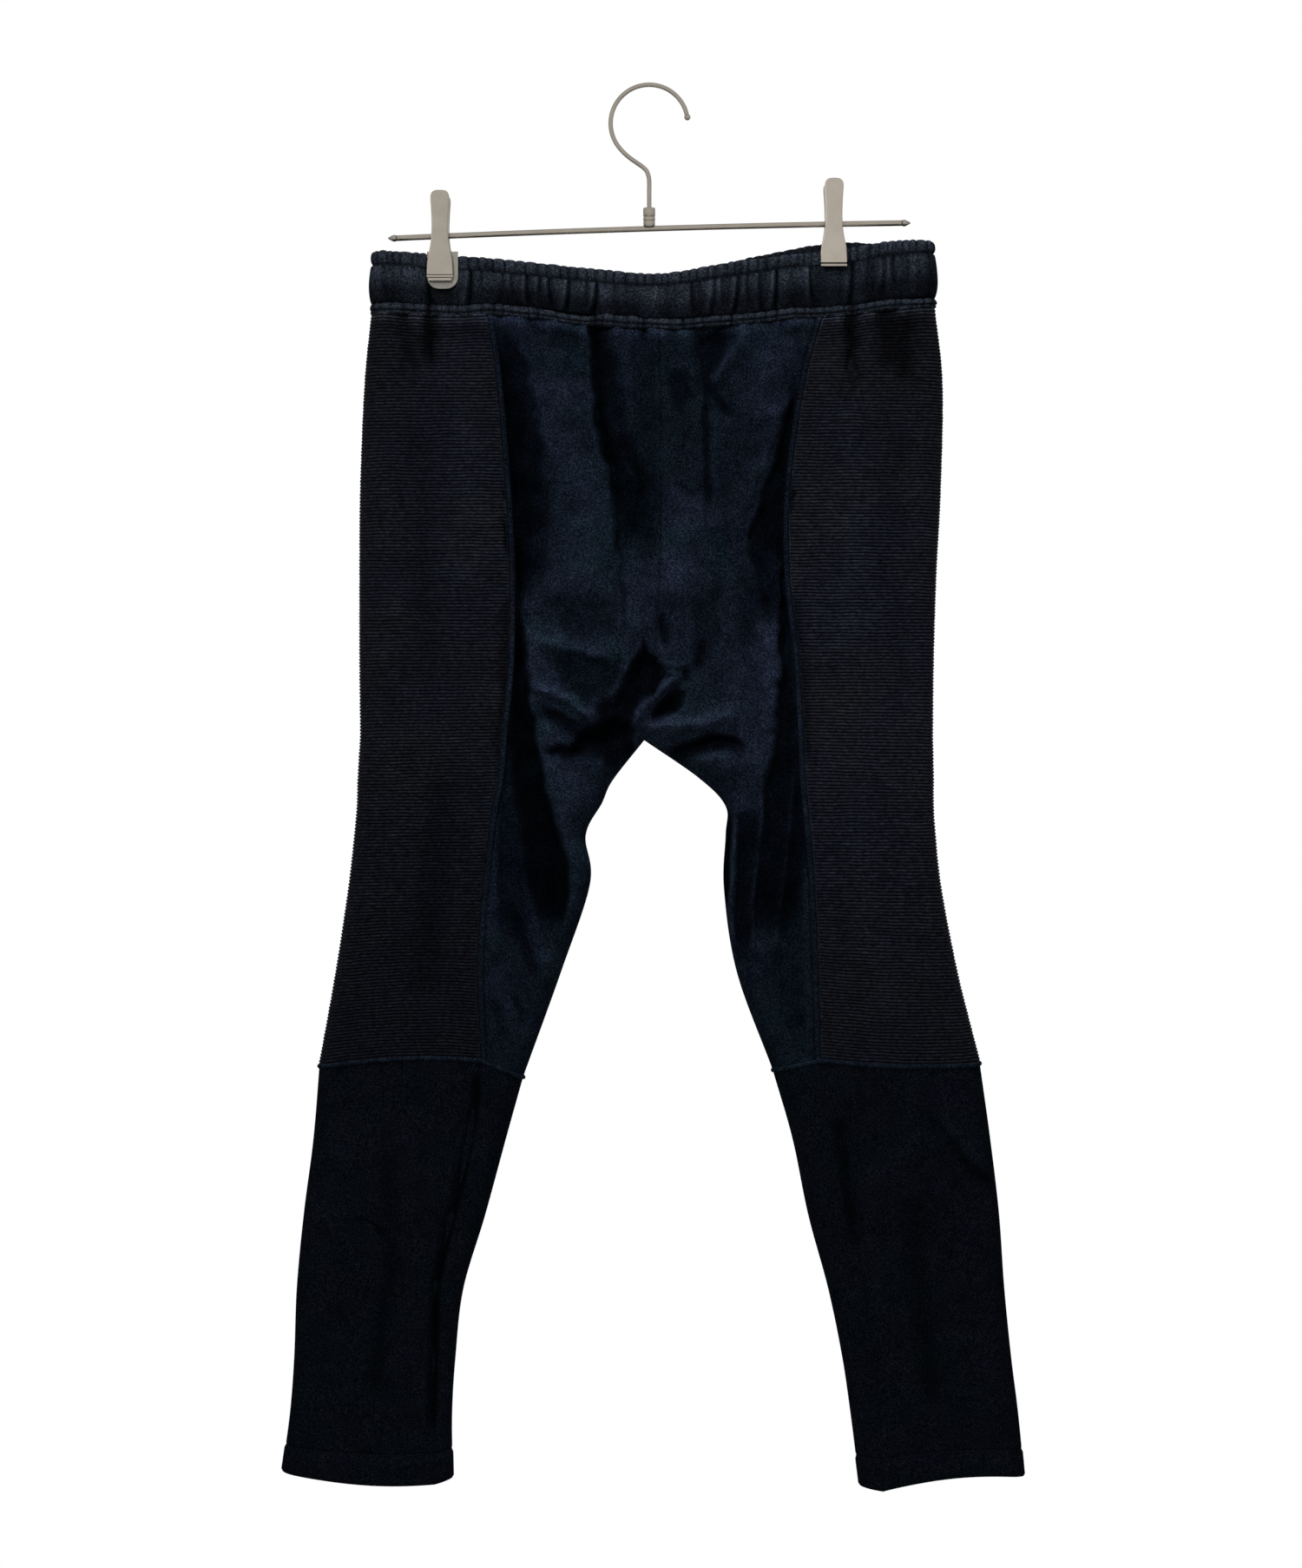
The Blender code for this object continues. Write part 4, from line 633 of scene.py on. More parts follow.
def hollow_rise(hollow, x, z):
    heights, lefts, rights = (np.array(column, float)[::-1] for column in zip(*hollow.rows))
    left, right = np.interp(z, heights, lefts), np.interp(z, heights, rights)
    inside = smoothstep((x - left) / hollow.west + 0.5) * smoothstep((right - x) / hollow.east + 0.5)
    fade = min(0.35 * (heights[-1] - heights[0]), HOLLOW_FADE)
    return hollow.rise * inside * smoothstep((z - heights[0]) / fade) * smoothstep((heights[-1] - z) / fade)


def beside_path(path, x, z):
    """How far each point is off a broken line, on which side and how far along, and the line's length."""
    best, side, where = np.full_like(x, np.inf), np.zeros_like(x), np.zeros_like(x)
    run = 0.0
    for (ax, az), (bx, bz) in zip(path, path[1:]):
        length = math.dist((ax, az), (bx, bz))
        dx, dz = (bx - ax) / length, (bz - az) / length
        along = np.clip((x - ax) * dx + (z - az) * dz, 0, length)
        gap = np.hypot(x - ax - dx * along, z - az - dz * along)
        nearer = gap < best
        best = np.where(nearer, gap, best)
        side = np.where(nearer, dx * (z - az) - dz * (x - ax), side)
        where = np.where(nearer, run + along, where)
        run += length
    return best, side, where, run


def one_fold_rise(fold, x, z):
    gap, side, where, length = beside_path(fold.path, x, z)
    width = np.where(side > 0, fold.east, fold.west)
    fade = min(0.34 * length, FOLD_FADE)
    ends = smoothstep(where / fade + 0.1) * smoothstep((length - where) / fade + 0.1)
    return fold.rise * ends * np.exp(-FOLD_FALLOFF * (gap / width) ** 2)


def fold_rise(folds, hollows, x, z):
    """The sum of the creases and hollows at each point, their edges made to wander."""
    loose = mix(LEAST_WANDER, 1.0, smoothstep((z - WANDER_FOOT) / WANDER_FADE))
    wander_x, wander_z = ripples(x, z, WANDER_ACROSS), ripples(x, z, WANDER_DOWN)
    x, z = x + loose * wander_x, z + loose * wander_z
    total = np.zeros_like(x)
    for hollow in hollows:
        total += hollow_rise(hollow, x, z)
    for fold in folds:
        total += one_fold_rise(fold, x, z)
    return total * (1 + ripples(x, z, UNEVEN_DEPTH))


# ---------------------------------------------------------------- the hanging shape


class Leg:
    """The outer surface of one half of the trousers. s is the fractional row number down the leg."""

    def __init__(self, side):
        self.side = side
        self.facing = -1 if side == "l" else 1
        self.columns = dict(zip(Row._fields[1:], np.array([row[1:] for row in LEGS[side]]).T))

    def at(self, s, field):
        values = self.columns[field]
        s = np.asarray(s, float)
        i = np.clip(s.astype(int), 0, len(values) - 2)
        v1, v2 = values[i], values[i + 1]
        starts = (i == 0) | (i == FORK) | (i == KNEE)
        ends = (i + 1 == FORK) | (i + 1 == KNEE) | (i + 1 == len(values) - 1)
        v0 = np.where(starts, 2 * v1 - v2, values[np.maximum(i - 1, 0)])
        v3 = np.where(ends, 2 * v2 - v1, values[np.minimum(i + 2, len(values) - 1)])
        t = s - i
        a = (v2 - v0) * t + (2 * v0 - 5 * v1 + 4 * v2 - v3) * t * t + (3 * v1 - v0 - 3 * v2 + v3) * t**3
        return v1 + 0.5 * a

    def corner(self, s, which):
        return self.at(s, which + "_x"), self.at(s, which + "_z")

    def width(self, s, one, other):
        (ax, az), (bx, bz) = self.corner(s, one), self.corner(s, other)
        return np.hypot(bx - ax, bz - az)

    def side_reach(self, s):
        """Arc from the outer edge to the seam."""
        return self.width(s, "outer", "seam") + self.at(s, "depth") * (math.pi / 2 - 1)

    def centre_reach(self, s):
        """Arc from the seam to the inner edge."""
        return self.width(s, "seam", "inner") + self.at(s, "depth") * (math.pi / 2 - 1)

    def waist_shift(self, s, x):
        """Moves the rows next to the waist on to the curved foot of the seam band."""
        first = LEGS[self.side][0]
        a, b, c = (first.outer_x, first.outer_z), (first.seam_x, first.seam_z), (first.inner_x, first.inner_z)
        outside = mix(a[1], b[1], (x - a[0]) / (b[0] - a[0]))
        inside = mix(b[1], c[1], (x - b[0]) / (c[0] - b[0]))
        line = np.where(np.abs(x) < abs(first.seam_x), inside, outside)
        return np.where(s < 1, (1 - s) ** 2, 0) * (waist_value(x, "band_foot") - line)

    def surface(self, s, x, z, from_outer, from_inner, from_seam, front):
        """Points with their crease heights. Above the knee the side seams hold the cloth flat beside them."""
        z = z + self.waist_shift(s, x)
        depth, below, pressed = self.at(s, "depth"), waist_value(x, "band_foot") - z, pinch(x, z)
        rounding = edge_round(from_outer, depth) * edge_round(from_inner, depth)
        front_fold = fold_rise(FRONT_FOLDS, FRONT_HOLLOWS, x, z)
        back_fold = fold_rise(BACK_FOLDS, BACK_HOLLOWS, x, z)
        fold = np.where(front, front_fold, back_fold) * smoothstep(below / 3.0 + 0.5)
        held = smoothstep(from_seam / SEAM_HOLD)
        fold = fold * mix(held, 1.0, smoothstep((s - KNEE) / 0.3))
        fold = fold + ripples(x, 0.25 * z, PUCKERS) * np.exp(-np.maximum(below, 0) / PUCKER_REACH) * held
        swell = ripples(x, z, SWELL[self.side]) * (1 - pressed)
        half = mix(depth, CLIP_HALF_DEPTH, pressed) + fold + swell
        spare = np.logaddexp(0, (half - LEAST_HALF_DEPTH) / LEAST_DEPTH_BLEND)
        y = rounding * (LEAST_HALF_DEPTH + LEAST_DEPTH_BLEND * spare)
        return np.stack([x, np.where(front, -y, y), z, fold], axis=-1)

    def inner_gap(self, s, x, z, along_row):
        """Distance to the inner edge: along the row below the fork, and straight to the fork above it."""
        fork = LEGS[self.side][FORK]
        return np.where(s < FORK, np.hypot(x - fork.inner_x, z - fork.inner_z), along_row)

    def side_point(self, s, arc):
        """A point of the piece that wraps round the outer edge; arc runs from it, positive to the front."""
        (ox, oz), (sx, sz) = self.corner(s, "outer"), self.corner(s, "seam")
        width, depth = self.width(s, "outer", "seam"), self.at(s, "depth")
        reach = np.abs(arc)
        turned = depth * (1 - np.cos(np.minimum(reach / depth, math.pi / 2)))
        distance = np.where(reach < depth * math.pi / 2, turned, depth + reach - depth * math.pi / 2)
        share = distance / width
        x = mix(ox, sx, share)
        z = mix(oz, sz, share) + self.at(s, "bow") * 4 * share * (1 - share)
        along_row = width - distance + self.width(s, "seam", "inner")
        from_seam = np.maximum(width - distance, 0)
        return self.surface(s, x, z, distance, self.inner_gap(s, x, z, along_row), from_seam, arc >= 0)

    def centre_point(self, s, arc, front):
        """A point of the piece between seam and inner edge; arc runs from the seam."""
        (sx, sz), (ix, iz) = self.corner(s, "seam"), self.corner(s, "inner")
        width, depth = self.width(s, "seam", "inner"), self.at(s, "depth")
        full = self.centre_reach(s)
        flat = width - depth
        bent = flat + depth * np.sin(np.clip((arc - flat) / depth, 0, math.pi / 2))
        turned = np.where(arc < flat, arc, bent)
        distance = mix(arc / full * width, turned, smoothstep(s - FORK + 1))
        x, z = mix(sx, ix, distance / width), mix(sz, iz, distance / width)
        gap = self.inner_gap(s, x, z, width - distance)
        from_outer = self.width(s, "outer", "seam") + distance
        from_seam = np.maximum(distance - SEAM_HOLD_FROM, 0)
        return self.surface(s, x, z, from_outer, gap, from_seam, front)

    def above_hem(self, s):
        """How far the outer edge is above its lower end."""
        (x, z), (hx, hz) = self.corner(s, "outer"), self.corner(HEM, "outer")
        return np.hypot(x - hx, z - hz)

    def row_above_hem(self, height):
        """The row number at this height above the hem."""
        samples = np.linspace(KNEE, HEM, 600)
        return np.interp(-np.asarray(height), -self.above_hem(samples), samples)


def grid_normals(points, outward_sign):
    """Unit normals of a grid of points; outward_sign settles which way they face."""
    down = np.gradient(points[..., :3], axis=0)
    across = np.gradient(points[..., :3], axis=1)
    return unit(np.cross(across, down)) * outward_sign


def painted_crease_shading(fold):
    """Painted shade and highlight: stops darker in a trough and lighter on a ridge."""
    (darkest, dark_rate), (palest, pale_rate) = TROUGH_PAINTED_SHADE, RIDGE_PAINTED_HIGHLIGHT
    return np.where(fold < 0, darkest * np.tanh(dark_rate * fold), palest * np.tanh(pale_rate * fold))


# ---------------------------------------------------------------- meshes


def strip(a, b):
    """Triangles between two chains of vertex numbers that may differ in length."""
    faces = []
    i = j = 0
    while i < len(a) - 1 or j < len(b) - 1:
        if j == len(b) - 1 or (i < len(a) - 1 and (i + 1) / (len(a) - 1) <= (j + 1) / (len(b) - 1)):
            faces.append((a[i], a[i + 1], b[j]))
            i += 1
        else:
            faces.append((a[i], b[j + 1], b[j]))
            j += 1
    return faces


def ringed(grid):
    """A grid with its first column again at its end, so that its rows close into rings."""
    return np.concatenate([grid, grid[:, :1]], axis=1)


def quads(numbers):
    """Faces of a grid of vertex numbers."""
    a, b = numbers[:-1, :-1].ravel(), numbers[:-1, 1:].ravel()
    c, d = numbers[1:, 1:].ravel(), numbers[1:, :-1].ravel()
    return np.stack([a, b, c, d], axis=1).tolist()


def number_grid(rows, columns, first=0):
    return first + np.arange(rows * columns).reshape(rows, columns)


def new_object(name, points, faces, material, tones=None):
    """A smooth mesh object of points in millimetres, with its normals facing out."""
    mesh = bpy.data.meshes.new(name)
    mesh.from_pydata((np.asarray(points) * MM).tolist(), [], faces)
    if tones is not None:
        # The tone attribute holds colour steps, painted light and shade among them
        mesh.attributes.new("tone", "FLOAT", "POINT").data.foreach_set("value", np.asarray(tones, np.float32))
    bm = bmesh.new()
    bm.from_mesh(mesh)
    bmesh.ops.remove_doubles(bm, verts=bm.verts, dist=1e-7)
    bmesh.ops.recalc_face_normals(bm, faces=bm.faces)
    bm.to_mesh(mesh)
    bm.free()
    mesh.shade_smooth()
    mesh.materials.append(material)
    made = bpy.data.objects.new(name, mesh)
    bpy.context.scene.collection.objects.link(made)
    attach(made, "root")
    return made


def every(count, step):
    """Each step-th number below this count, and the last one."""
    return sorted({*range(0, count, step), count - 1})


def shell(name, outer, inner, tones, material, row_step, column_step, ring=False, inside_tones=INSIDE_PAINTED_SHADE):
    """A closed thin shell: the detailed outer grid, and a plainer inner grid a wall's thickness behind it."""
    rows, columns = outer.shape[:2]
    keep_columns = list(range(0, columns, column_step)) if ring else every(columns, column_step)
    kept = np.ix_(every(rows, row_step), keep_columns)
    inner, inside_tones = inner[kept], np.broadcast_to(inside_tones, (rows, columns))[kept]
    points = np.concatenate([outer.reshape(-1, 3), inner.reshape(-1, 3)])
    tones = np.concatenate([np.broadcast_to(tones, (rows, columns)).ravel(), inside_tones.ravel()])
    outside, inside = number_grid(rows, columns), number_grid(*inner.shape[:2], rows * columns)
    if ring:
        outside, inside = ringed(outside), ringed(inside)
    faces = quads(outside) + quads(inside)
    for end in (0, -1):
        faces += strip(outside[end].tolist(), inside[end].tolist())
        if not ring:
            faces += strip(outside[:, end].tolist(), inside[:, end].tolist())
    return new_object(name, points, faces, material, tones)


def capped_tube(name, rings, material, tones):
    """Rings of points, each joined to the next, with a face over each end."""
    numbers = number_grid(*rings.shape[:2])
    faces = quads(ringed(numbers)) + [numbers[0].tolist(), numbers[-1].tolist()]
    return new_object(name, rings.reshape(-1, 3), faces, material, tones)


def declare(grid, ring=False):
    """Rings the grid when ring is set, and does nothing more with it."""
    if ring:
        grid = ringed(grid)


# ---------------------------------------------------------------- materials


class Nodes:
    """Builds a Principled material. A node's input takes a number, a colour or another node's output."""

    def __init__(self, name, shading):
        self.material = bpy.data.materials.new(name)
        self.material.use_nodes = True
        self.tree = self.material.node_tree
        self.shader = self.tree.nodes["Principled BSDF"]
        self.fill(self.shader, shading)
        self.place = self.tree.nodes.new("ShaderNodeTexCoord").outputs["Object"]

    def feed(self, socket, value):
        if isinstance(value, bpy.types.NodeSocket):
            self.tree.links.new(value, socket)
        else:
            socket.default_value = (*value, 1.0) if socket.type == "RGBA" else value

    def fill(self, node, inputs):
        for name, value in inputs.items():
            self.feed(node.inputs[name], value)

    def add(self, kind, inputs):
        node = self.tree.nodes.new("ShaderNode" + kind)
        self.fill(node, inputs)
        return node

    def stretched(self, x, y, z):
        return self.add("Mapping", {"Scale": (x, y, z), "Vector": self.place}).outputs["Vector"]

    def noise(self, grain, detail=2.0, roughness=0.5, place=None):
        """Noise whose largest grains are about this many metres across."""
        inputs = {"Scale": 1 / grain, "Detail": detail, "Roughness": roughness, "Vector": place or self.place}
        return self.add("TexNoise", inputs).outputs["Fac"]

    def ramp(self, value, stops):
        node = self.add("ValToRGB", {"Fac": value})
        elements = node.color_ramp.elements
        while len(elements) < len(stops):
            elements.new(0.5)
        for element, (position, colour) in zip(elements, stops):
            element.position = position
            element.color = (*colour, 1.0)
        return node.outputs["Color"]

    def range(self, value, low, high, to_low, to_high):
        inputs = {"Value": value, "From Min": low, "From Max": high, "To Min": to_low, "To Max": to_high}
        return self.add("MapRange", inputs).outputs["Result"]

    def maths(self, operation, a, b):
        node = self.add("Math", {})
        node.operation = operation
        for socket, value in zip(node.inputs, (a, b)):
            self.feed(socket, value)
        return node.outputs["Value"]

    def blend(self, kind, factor, a, b):
        """Two colours mixed. The node's sockets share names between kinds of data, so type finds them."""
        node = self.add("Mix", {})
        node.data_type = "RGBA"
        node.blend_type = kind
        self.feed(next(i for i in node.inputs if i.type == "VALUE"), factor)
        for socket, value in zip([i for i in node.inputs if i.type == "RGBA"], (a, b)):
            self.feed(socket, value)
        return next(o for o in node.outputs if o.type == "RGBA")

    def clouded(self, base, value, low, high, share=1.0):
        """The colour made darker and lighter where this value is low and high."""
        return self.blend("MULTIPLY", share, base, self.range(value, 0.3, 0.7, low, high))

    def linted(self, base, colour, spacing, chance, strength, size=0.0004):
        """The colour with small pale specks of lint scattered over it, this many metres apart."""
        node = self.add("TexVoronoi", {"Scale": 1 / spacing, "Vector": self.place})
        near = self.maths("LESS_THAN", node.outputs["Distance"], size / spacing)
        split = self.add("SeparateColor", {"Color": node.outputs["Color"]})
        chosen = self.maths("LESS_THAN", split.outputs["Red"], chance)
        specks = self.maths("MULTIPLY", near, chosen)
        return self.blend("MIX", self.maths("MULTIPLY", specks, strength), base, colour)

    def toned(self, colour):
        """The colour made lighter or darker by the mesh's tone, in stops: the cloth's own tone and painted
        light and shade.
        """
        node = self.add("Attribute", {})
        node.attribute_name = "tone"
        return self.blend("MULTIPLY", 1.0, colour, self.maths("POWER", 2.0, node.outputs["Fac"]))

    def colour(self, socket):
        self.feed(self.shader.inputs["Base Color"], socket)

    def relief(self, *layers):
        """Bump from (height, strength, depth in metres) layers, laid one on another."""
        below = {}
        for height, strength, depth in layers:
            node = self.add("Bump", {"Strength": strength, "Distance": depth, "Height": height, **below})
            below = {"Normal": node.outputs["Normal"]}
        self.fill(self.shader, below)


FLEECE_SHADING = {
    "Roughness": 1.0, "Specular IOR Level": 0.004,
    "Sheen Weight": 0.004, "Sheen Roughness": 0.6, "Sheen Tint": (0.40, 0.62, 1.0),
}
FLEECE_PILE = [
    (0.37, (0.0010, 0.0020, 0.0042)), (0.50, (0.0042, 0.0069, 0.0120)), (0.66, (0.0145, 0.0196, 0.0292)),
]
FLEECE_CAST = [(0.38, (1.04, 0.95, 1.05)), (0.5, (0.98, 1.0, 1.0)), (0.62, (0.86, 1.05, 0.97))]
FLEECE_LINT = (0.045, 0.052, 0.060)
RIB_SHADING = {
    "Roughness": 1.0, "Specular IOR Level": 0.03,
    "Sheen Weight": 0.02, "Sheen Roughness": 0.5, "Sheen Tint": (0.85, 0.88, 1.0),
}
RIB_YARN = [
    (0.30, (0.0022, 0.0024, 0.0036)), (0.50, (0.0062, 0.0067, 0.0095)), (0.74, (0.0150, 0.0155, 0.0195)),
]
RIB_CAST = [(0.38, (0.92, 0.97, 1.07)), (0.52, (1.0, 1.0, 1.0)), (0.66, (1.05, 1.04, 0.95))]
RIB_LINT = (0.045, 0.048, 0.055)
# The stitch columns across the ribs, in metres from one to the next
WALE_PITCH = 0.0013
THREAD = [(0.3, (0.003, 0.004, 0.006)), (0.7, (0.010, 0.012, 0.017))]
NICKEL = [(0.3, (0.345, 0.310, 0.260)), (0.7, (0.390, 0.352, 0.302))]
# Painted shadow: the cushions, seen only in the gaps under the levers' feet, are coloured dark for the shade
# there
PAD_PAINTED_SHADOW = [(0.3, (0.020, 0.016, 0.013)), (0.7, (0.030, 0.024, 0.020))]
SATIN_LINER = [(0.3, (0.17, 0.162, 0.140)), (0.7, (0.20, 0.192, 0.168))]


def fleece_material(name, tint=None, cast_share=1.0, clouds=1.0):
    """Brushed navy-black fleece: blotchy pile, a cooler and a greyer tone, and scattered pale lint."""
    n = Nodes(name, FLEECE_SHADING)
    pile = n.noise(0.0012, 3.0, 0.75)
    blotch = n.noise(0.010, 4.0, 0.6)
    cast = n.ramp(n.noise(0.038, 3.0, 0.55), FLEECE_CAST)
    base = n.blend("MULTIPLY", cast_share, n.ramp(pile, FLEECE_PILE), cast)
    base = n.clouded(base, blotch, 0.56, 1.44, clouds)
    base = n.clouded(base, n.noise(0.026, 3.0, 0.6), 0.74, 1.26, clouds)
    if tint:
        base = n.blend("MULTIPLY", 1.0, base, tint)
    n.colour(n.toned(n.linted(base, FLEECE_LINT, 0.007, 0.20, 0.5)))
    n.relief((pile, 0.5, 0.0008), (n.noise(0.0008, 3.0, 0.7), 0.5, 0.0003))
    return n.material


def rib_material():
    """Charcoal rib knit with small stitch columns across it."""
    n = Nodes("charcoal_rib", RIB_SHADING)
    yarn = n.noise(0.0018, 4.0, 0.6, n.stretched(0.6, 0.6, 1.0))
    blotch = n.noise(0.016, 4.0, 0.6)
    base = n.blend("MULTIPLY", 1.0, n.ramp(yarn, RIB_YARN), n.ramp(n.noise(0.06, 3.0, 0.5), RIB_CAST))
    base = n.clouded(base, blotch, 0.82, 1.18)
    wave_scale = 1 / (20 * WALE_PITCH) * 2 * math.pi
    wave = n.add("TexWave", {"Scale": wave_scale, "Distortion": 1.2, "Detail": 1.0, "Vector": n.place})
    wave.bands_direction = "X"
    wales = wave.outputs["Fac"]
    base = n.blend("MULTIPLY", 1.0, base, n.range(wales, 0.0, 1.0, 0.88, 1.08))
    n.colour(n.toned(n.linted(base, RIB_LINT, 0.009, 0.14, 0.4)))
    n.relief((wales, 0.25, 0.0003), (yarn, 0.4, 0.0004))
    return n.material


def thread_material():
    n = Nodes("black_thread", {"Roughness": 0.85, "Specular IOR Level": 0.05})
    twist = n.noise(0.0006, 2.0)
    n.colour(n.ramp(twist, THREAD))
    n.relief((twist, 0.4, 0.0002))
    return n.material


def metal_material():
    """Satin nickel with a faint warm cast and fine brushing."""
    n = Nodes("satin_nickel", {"Metallic": 1.0})
    n.colour(n.toned(n.ramp(n.noise(0.014, 3.0, 0.6), NICKEL)))
    brushing = n.noise(0.0009, 3.0, 0.6, n.stretched(1.0, 1.0, 0.12))
    n.fill(n.shader, {"Roughness": n.range(brushing, 0.3, 0.7, 0.30, 0.40)})
    return n.material


def pad_material(name, shades):
    n = Nodes(name, {"Roughness": 0.5})
    cloud = n.noise(0.004, 3.0)
    n.colour(n.ramp(cloud, shades))
    n.relief((cloud, 0.1, 0.0002))
    return n.material


# ---------------------------------------------------------------- side panels


def rib_rows(leg):
    """Row numbers down the panel, four for each rib, and how high each stands."""
    samples = np.linspace(0, KNEE, 1200)
    (ox, oz), (sx, sz) = leg.corner(samples, "outer"), leg.corner(samples, "seam")
    steps = np.hypot(np.diff((ox + sx) / 2), np.diff((oz + sz) / 2))
    lengths = np.concatenate([[0], np.cumsum(steps)])
    ribs = round(lengths[-1] / RIB_PITCH)
    phases = [(k + phase, rise) for k in range(ribs) for phase, rise in RIB_PROFILE]
    phases.append((ribs, RIB_PROFILE[0][1]))
    wanted = np.array([phase for phase, _ in phases]) / ribs * lengths[-1]
    return np.interp(wanted, lengths, samples), np.array([rise for _, rise in phases])


def painted_light_under_band(x, z):
    """Painted light: the panels are made paler where they leave the seam band."""
    under = waist_value(x, "band_foot") - z
    return UNDER_BAND_PAINTED_LIGHT * (1 - smoothstep((under - 2.0) / UNDER_BAND_REACH))


def wrapped_arcs(leg, s, shares, turn_steps, near=()):
    """Arcs from seam to seam round the outer edge: shares of the flat part, then the turn.

    near, where given, sets how many millimetres from the seam the first columns are.
    """
    reach, depth = leg.side_reach(s)[:, None], leg.at(s, "depth")[:, None]
    flat = reach - shares * (reach - depth * math.pi / 2)
    flat[:, : len(near)] = reach - np.array(near)
    half = np.concatenate([flat, depth * np.linspace(math.pi / 2, 0, turn_steps)[1:]], axis=1)
    return np.concatenate([-half, half[:, -2::-1]], axis=1)


def row_grid(s, arcs):
    """The row number at each point of a grid of arcs."""
    return np.repeat(s[:, None], arcs.shape[1], axis=1)


def rib_panel(side, material):
    leg = Leg(side)
    s, rises = rib_rows(leg)
    shares = np.concatenate([SIDE_COLUMNS, np.linspace(6, 100, 24)]) / 100
    arcs = wrapped_arcs(leg, s, shares, 9, SIDE_COLUMNS)
    surface = leg.side_point(row_grid(s, arcs), arcs)
    base, fold = surface[..., :3], surface[..., 3]
    x, z, rises = base[..., 0], base[..., 2], rises[:, None]
    normals = grid_normals(base, leg.facing)
    from_seam = leg.side_reach(s)[:, None] - np.abs(arcs)
    fade = smoothstep((from_seam - 0.3) / 1.4)
    relief = RIB_RISE * rises * fade - 0.7 * (1 - smoothstep(from_seam / 1.2))
    points = base + normals * (relief * (1 + ripples(x, z * 3, UNEVEN_RIBS)))[..., None]
    points[..., 2] += ripples(x, z, RIB_SAG)
    # Painted shade and highlight on the creases, painted shade in the rib grooves, painted light and shade by
    # height, a painted sheen along the outer edge, painted light under the band and painted shade beside the
    # seat's seams
    tones = painted_crease_shading(fold) + RIB_GROOVE_PAINTED_SHADE * (1 - smoothstep((rises + 0.25) / 1.25)) * fade
    tones = tones + height_tone(RIB_PAINTED_LIGHT_BY_HEIGHT[side], z) + SIDE_TONE
    tones = tones + OUTER_EDGE_PAINTED_SHEEN * bump(np.abs(arcs), 13)
    top, foot = SEAT_HEIGHTS
    at_seat = smoothstep((top - z) / 30) * smoothstep((z - foot) / 30)
    tones = tones + painted_light_under_band(x, z) + SEAT_PAINTED_SHADE * at_seat * bump(from_seam - 1.5, 5.0)
    made = shell(f"rib_cloth_{side}", points, points - normals * WALL, tones, material, 24, 3)
    declare(base)
    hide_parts(f"rib_panel_{side}")
    return made


# ---------------------------------------------------------------- centre panels


def tape_relief(from_seam):
    """The turned seam allowance beside a side seam: a low flat band with a sewn groove at its far edge."""
    band = smoothstep(from_seam / 0.9) * (1 - smoothstep((from_seam - TAPE_WIDTH + 0.5) / 0.8))
    groove = bump(from_seam - TAPE_WIDTH - 0.3, 0.7)
    return 0.60 * band - 0.65 * groove - 0.7 * (1 - smoothstep(from_seam / 0.7))


def centre_columns(full, count):
    """Arcs from the seam: close together over the seam's band, then even up to the inner edge."""
    near = np.array([-0.9, -0.2, 0.35, 0.8, 1.4, 2.2, 3.0, 3.6, 4.1, 4.5, 4.9, 5.5])
    share = np.linspace(0, 1, count)[1:]
    far = near[-1] + share * (full - near[-1])[:, None]
    return np.concatenate([np.repeat(near[None, :], len(full), axis=0), far], axis=1)


def centre_panel(side, front, material, with_pieces=()):
    leg = Leg(side)
    close = [0.01, FORK - 0.04, FORK - 0.015, FORK, KNEE - 0.012, KNEE]
    s = np.unique(np.concatenate([np.arange(0, KNEE, CENTRE_STEP), close]))
    full = leg.centre_reach(s)
    arcs = centre_columns(full, 62 if front else 50)
    arcs[:, -1] += 0.6 * (s < FORK - 0.2)
    rows = row_grid(s, arcs)
    surface = leg.centre_point(rows, arcs, front)
    base, fold = surface[..., :3], surface[..., 3]
    normals = grid_normals(base, leg.facing if front else -leg.facing)
    from_inner = full[:, None] - arcs
    seam_line = -0.9 * (1 - smoothstep(from_inner / 0.9)) * (rows < FORK - 0.3)
    points = base + normals * (tape_relief(arcs) + seam_line)[..., None]
    # Painted shade and highlight on the creases, painted light and shade by height, painted shade in the
    # tape's sewn groove, along the side seam and in the centre seam's groove, a faint painted highlight on
    # the tape, and painted light under the band
    tones = painted_crease_shading(fold) + height_tone(CENTRE_PAINTED_LIGHT_BY_HEIGHT, base[..., 2])
    tones = tones + 0.05 * bump(arcs - 2.4, 2.2) - 0.8 * bump(arcs - TAPE_WIDTH - 0.3, 0.9)
    tones = tones - 1.2 * bump(arcs, 0.8)
    tones = tones + 0.5 * seam_line + painted_light_under_band(base[..., 0], base[..., 2])
    face = "front" if front else "back"
    made = shell(f"{face}_cloth_{side}", points, points - normals * WALL, tones, material, 3, 2)
    declare(base, False)
    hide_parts(f"{face}_centre_{side}")
    return made


# ---------------------------------------------------------------- lower legs


def hem_relief(leg, s):
    """Outward rise and wall thickness down a lower leg, with the sewn line of the turned hem."""
    above = leg.above_hem(s)
    doubled = 1 - smoothstep((above - HEM_HEIGHT + 1.2) / 2.4)
    groove = bump(above - HEM_HEIGHT, 1.8)
    roll = (1 - smoothstep(above / 1.6)) * 0.9
    # Painted shade in the hem's sewn groove and a painted highlight on the turned hem just below it
    tone = CALF_TONE_AND_PAINTED_SHADE - 0.35 * groove + 0.3 * bump(above - HEM_HEIGHT + 3.4, 3.0)
    return 0.7 * doubled - 0.7 * groove - roll, (WALL + 1.1 * doubled)[:, None, None], tone


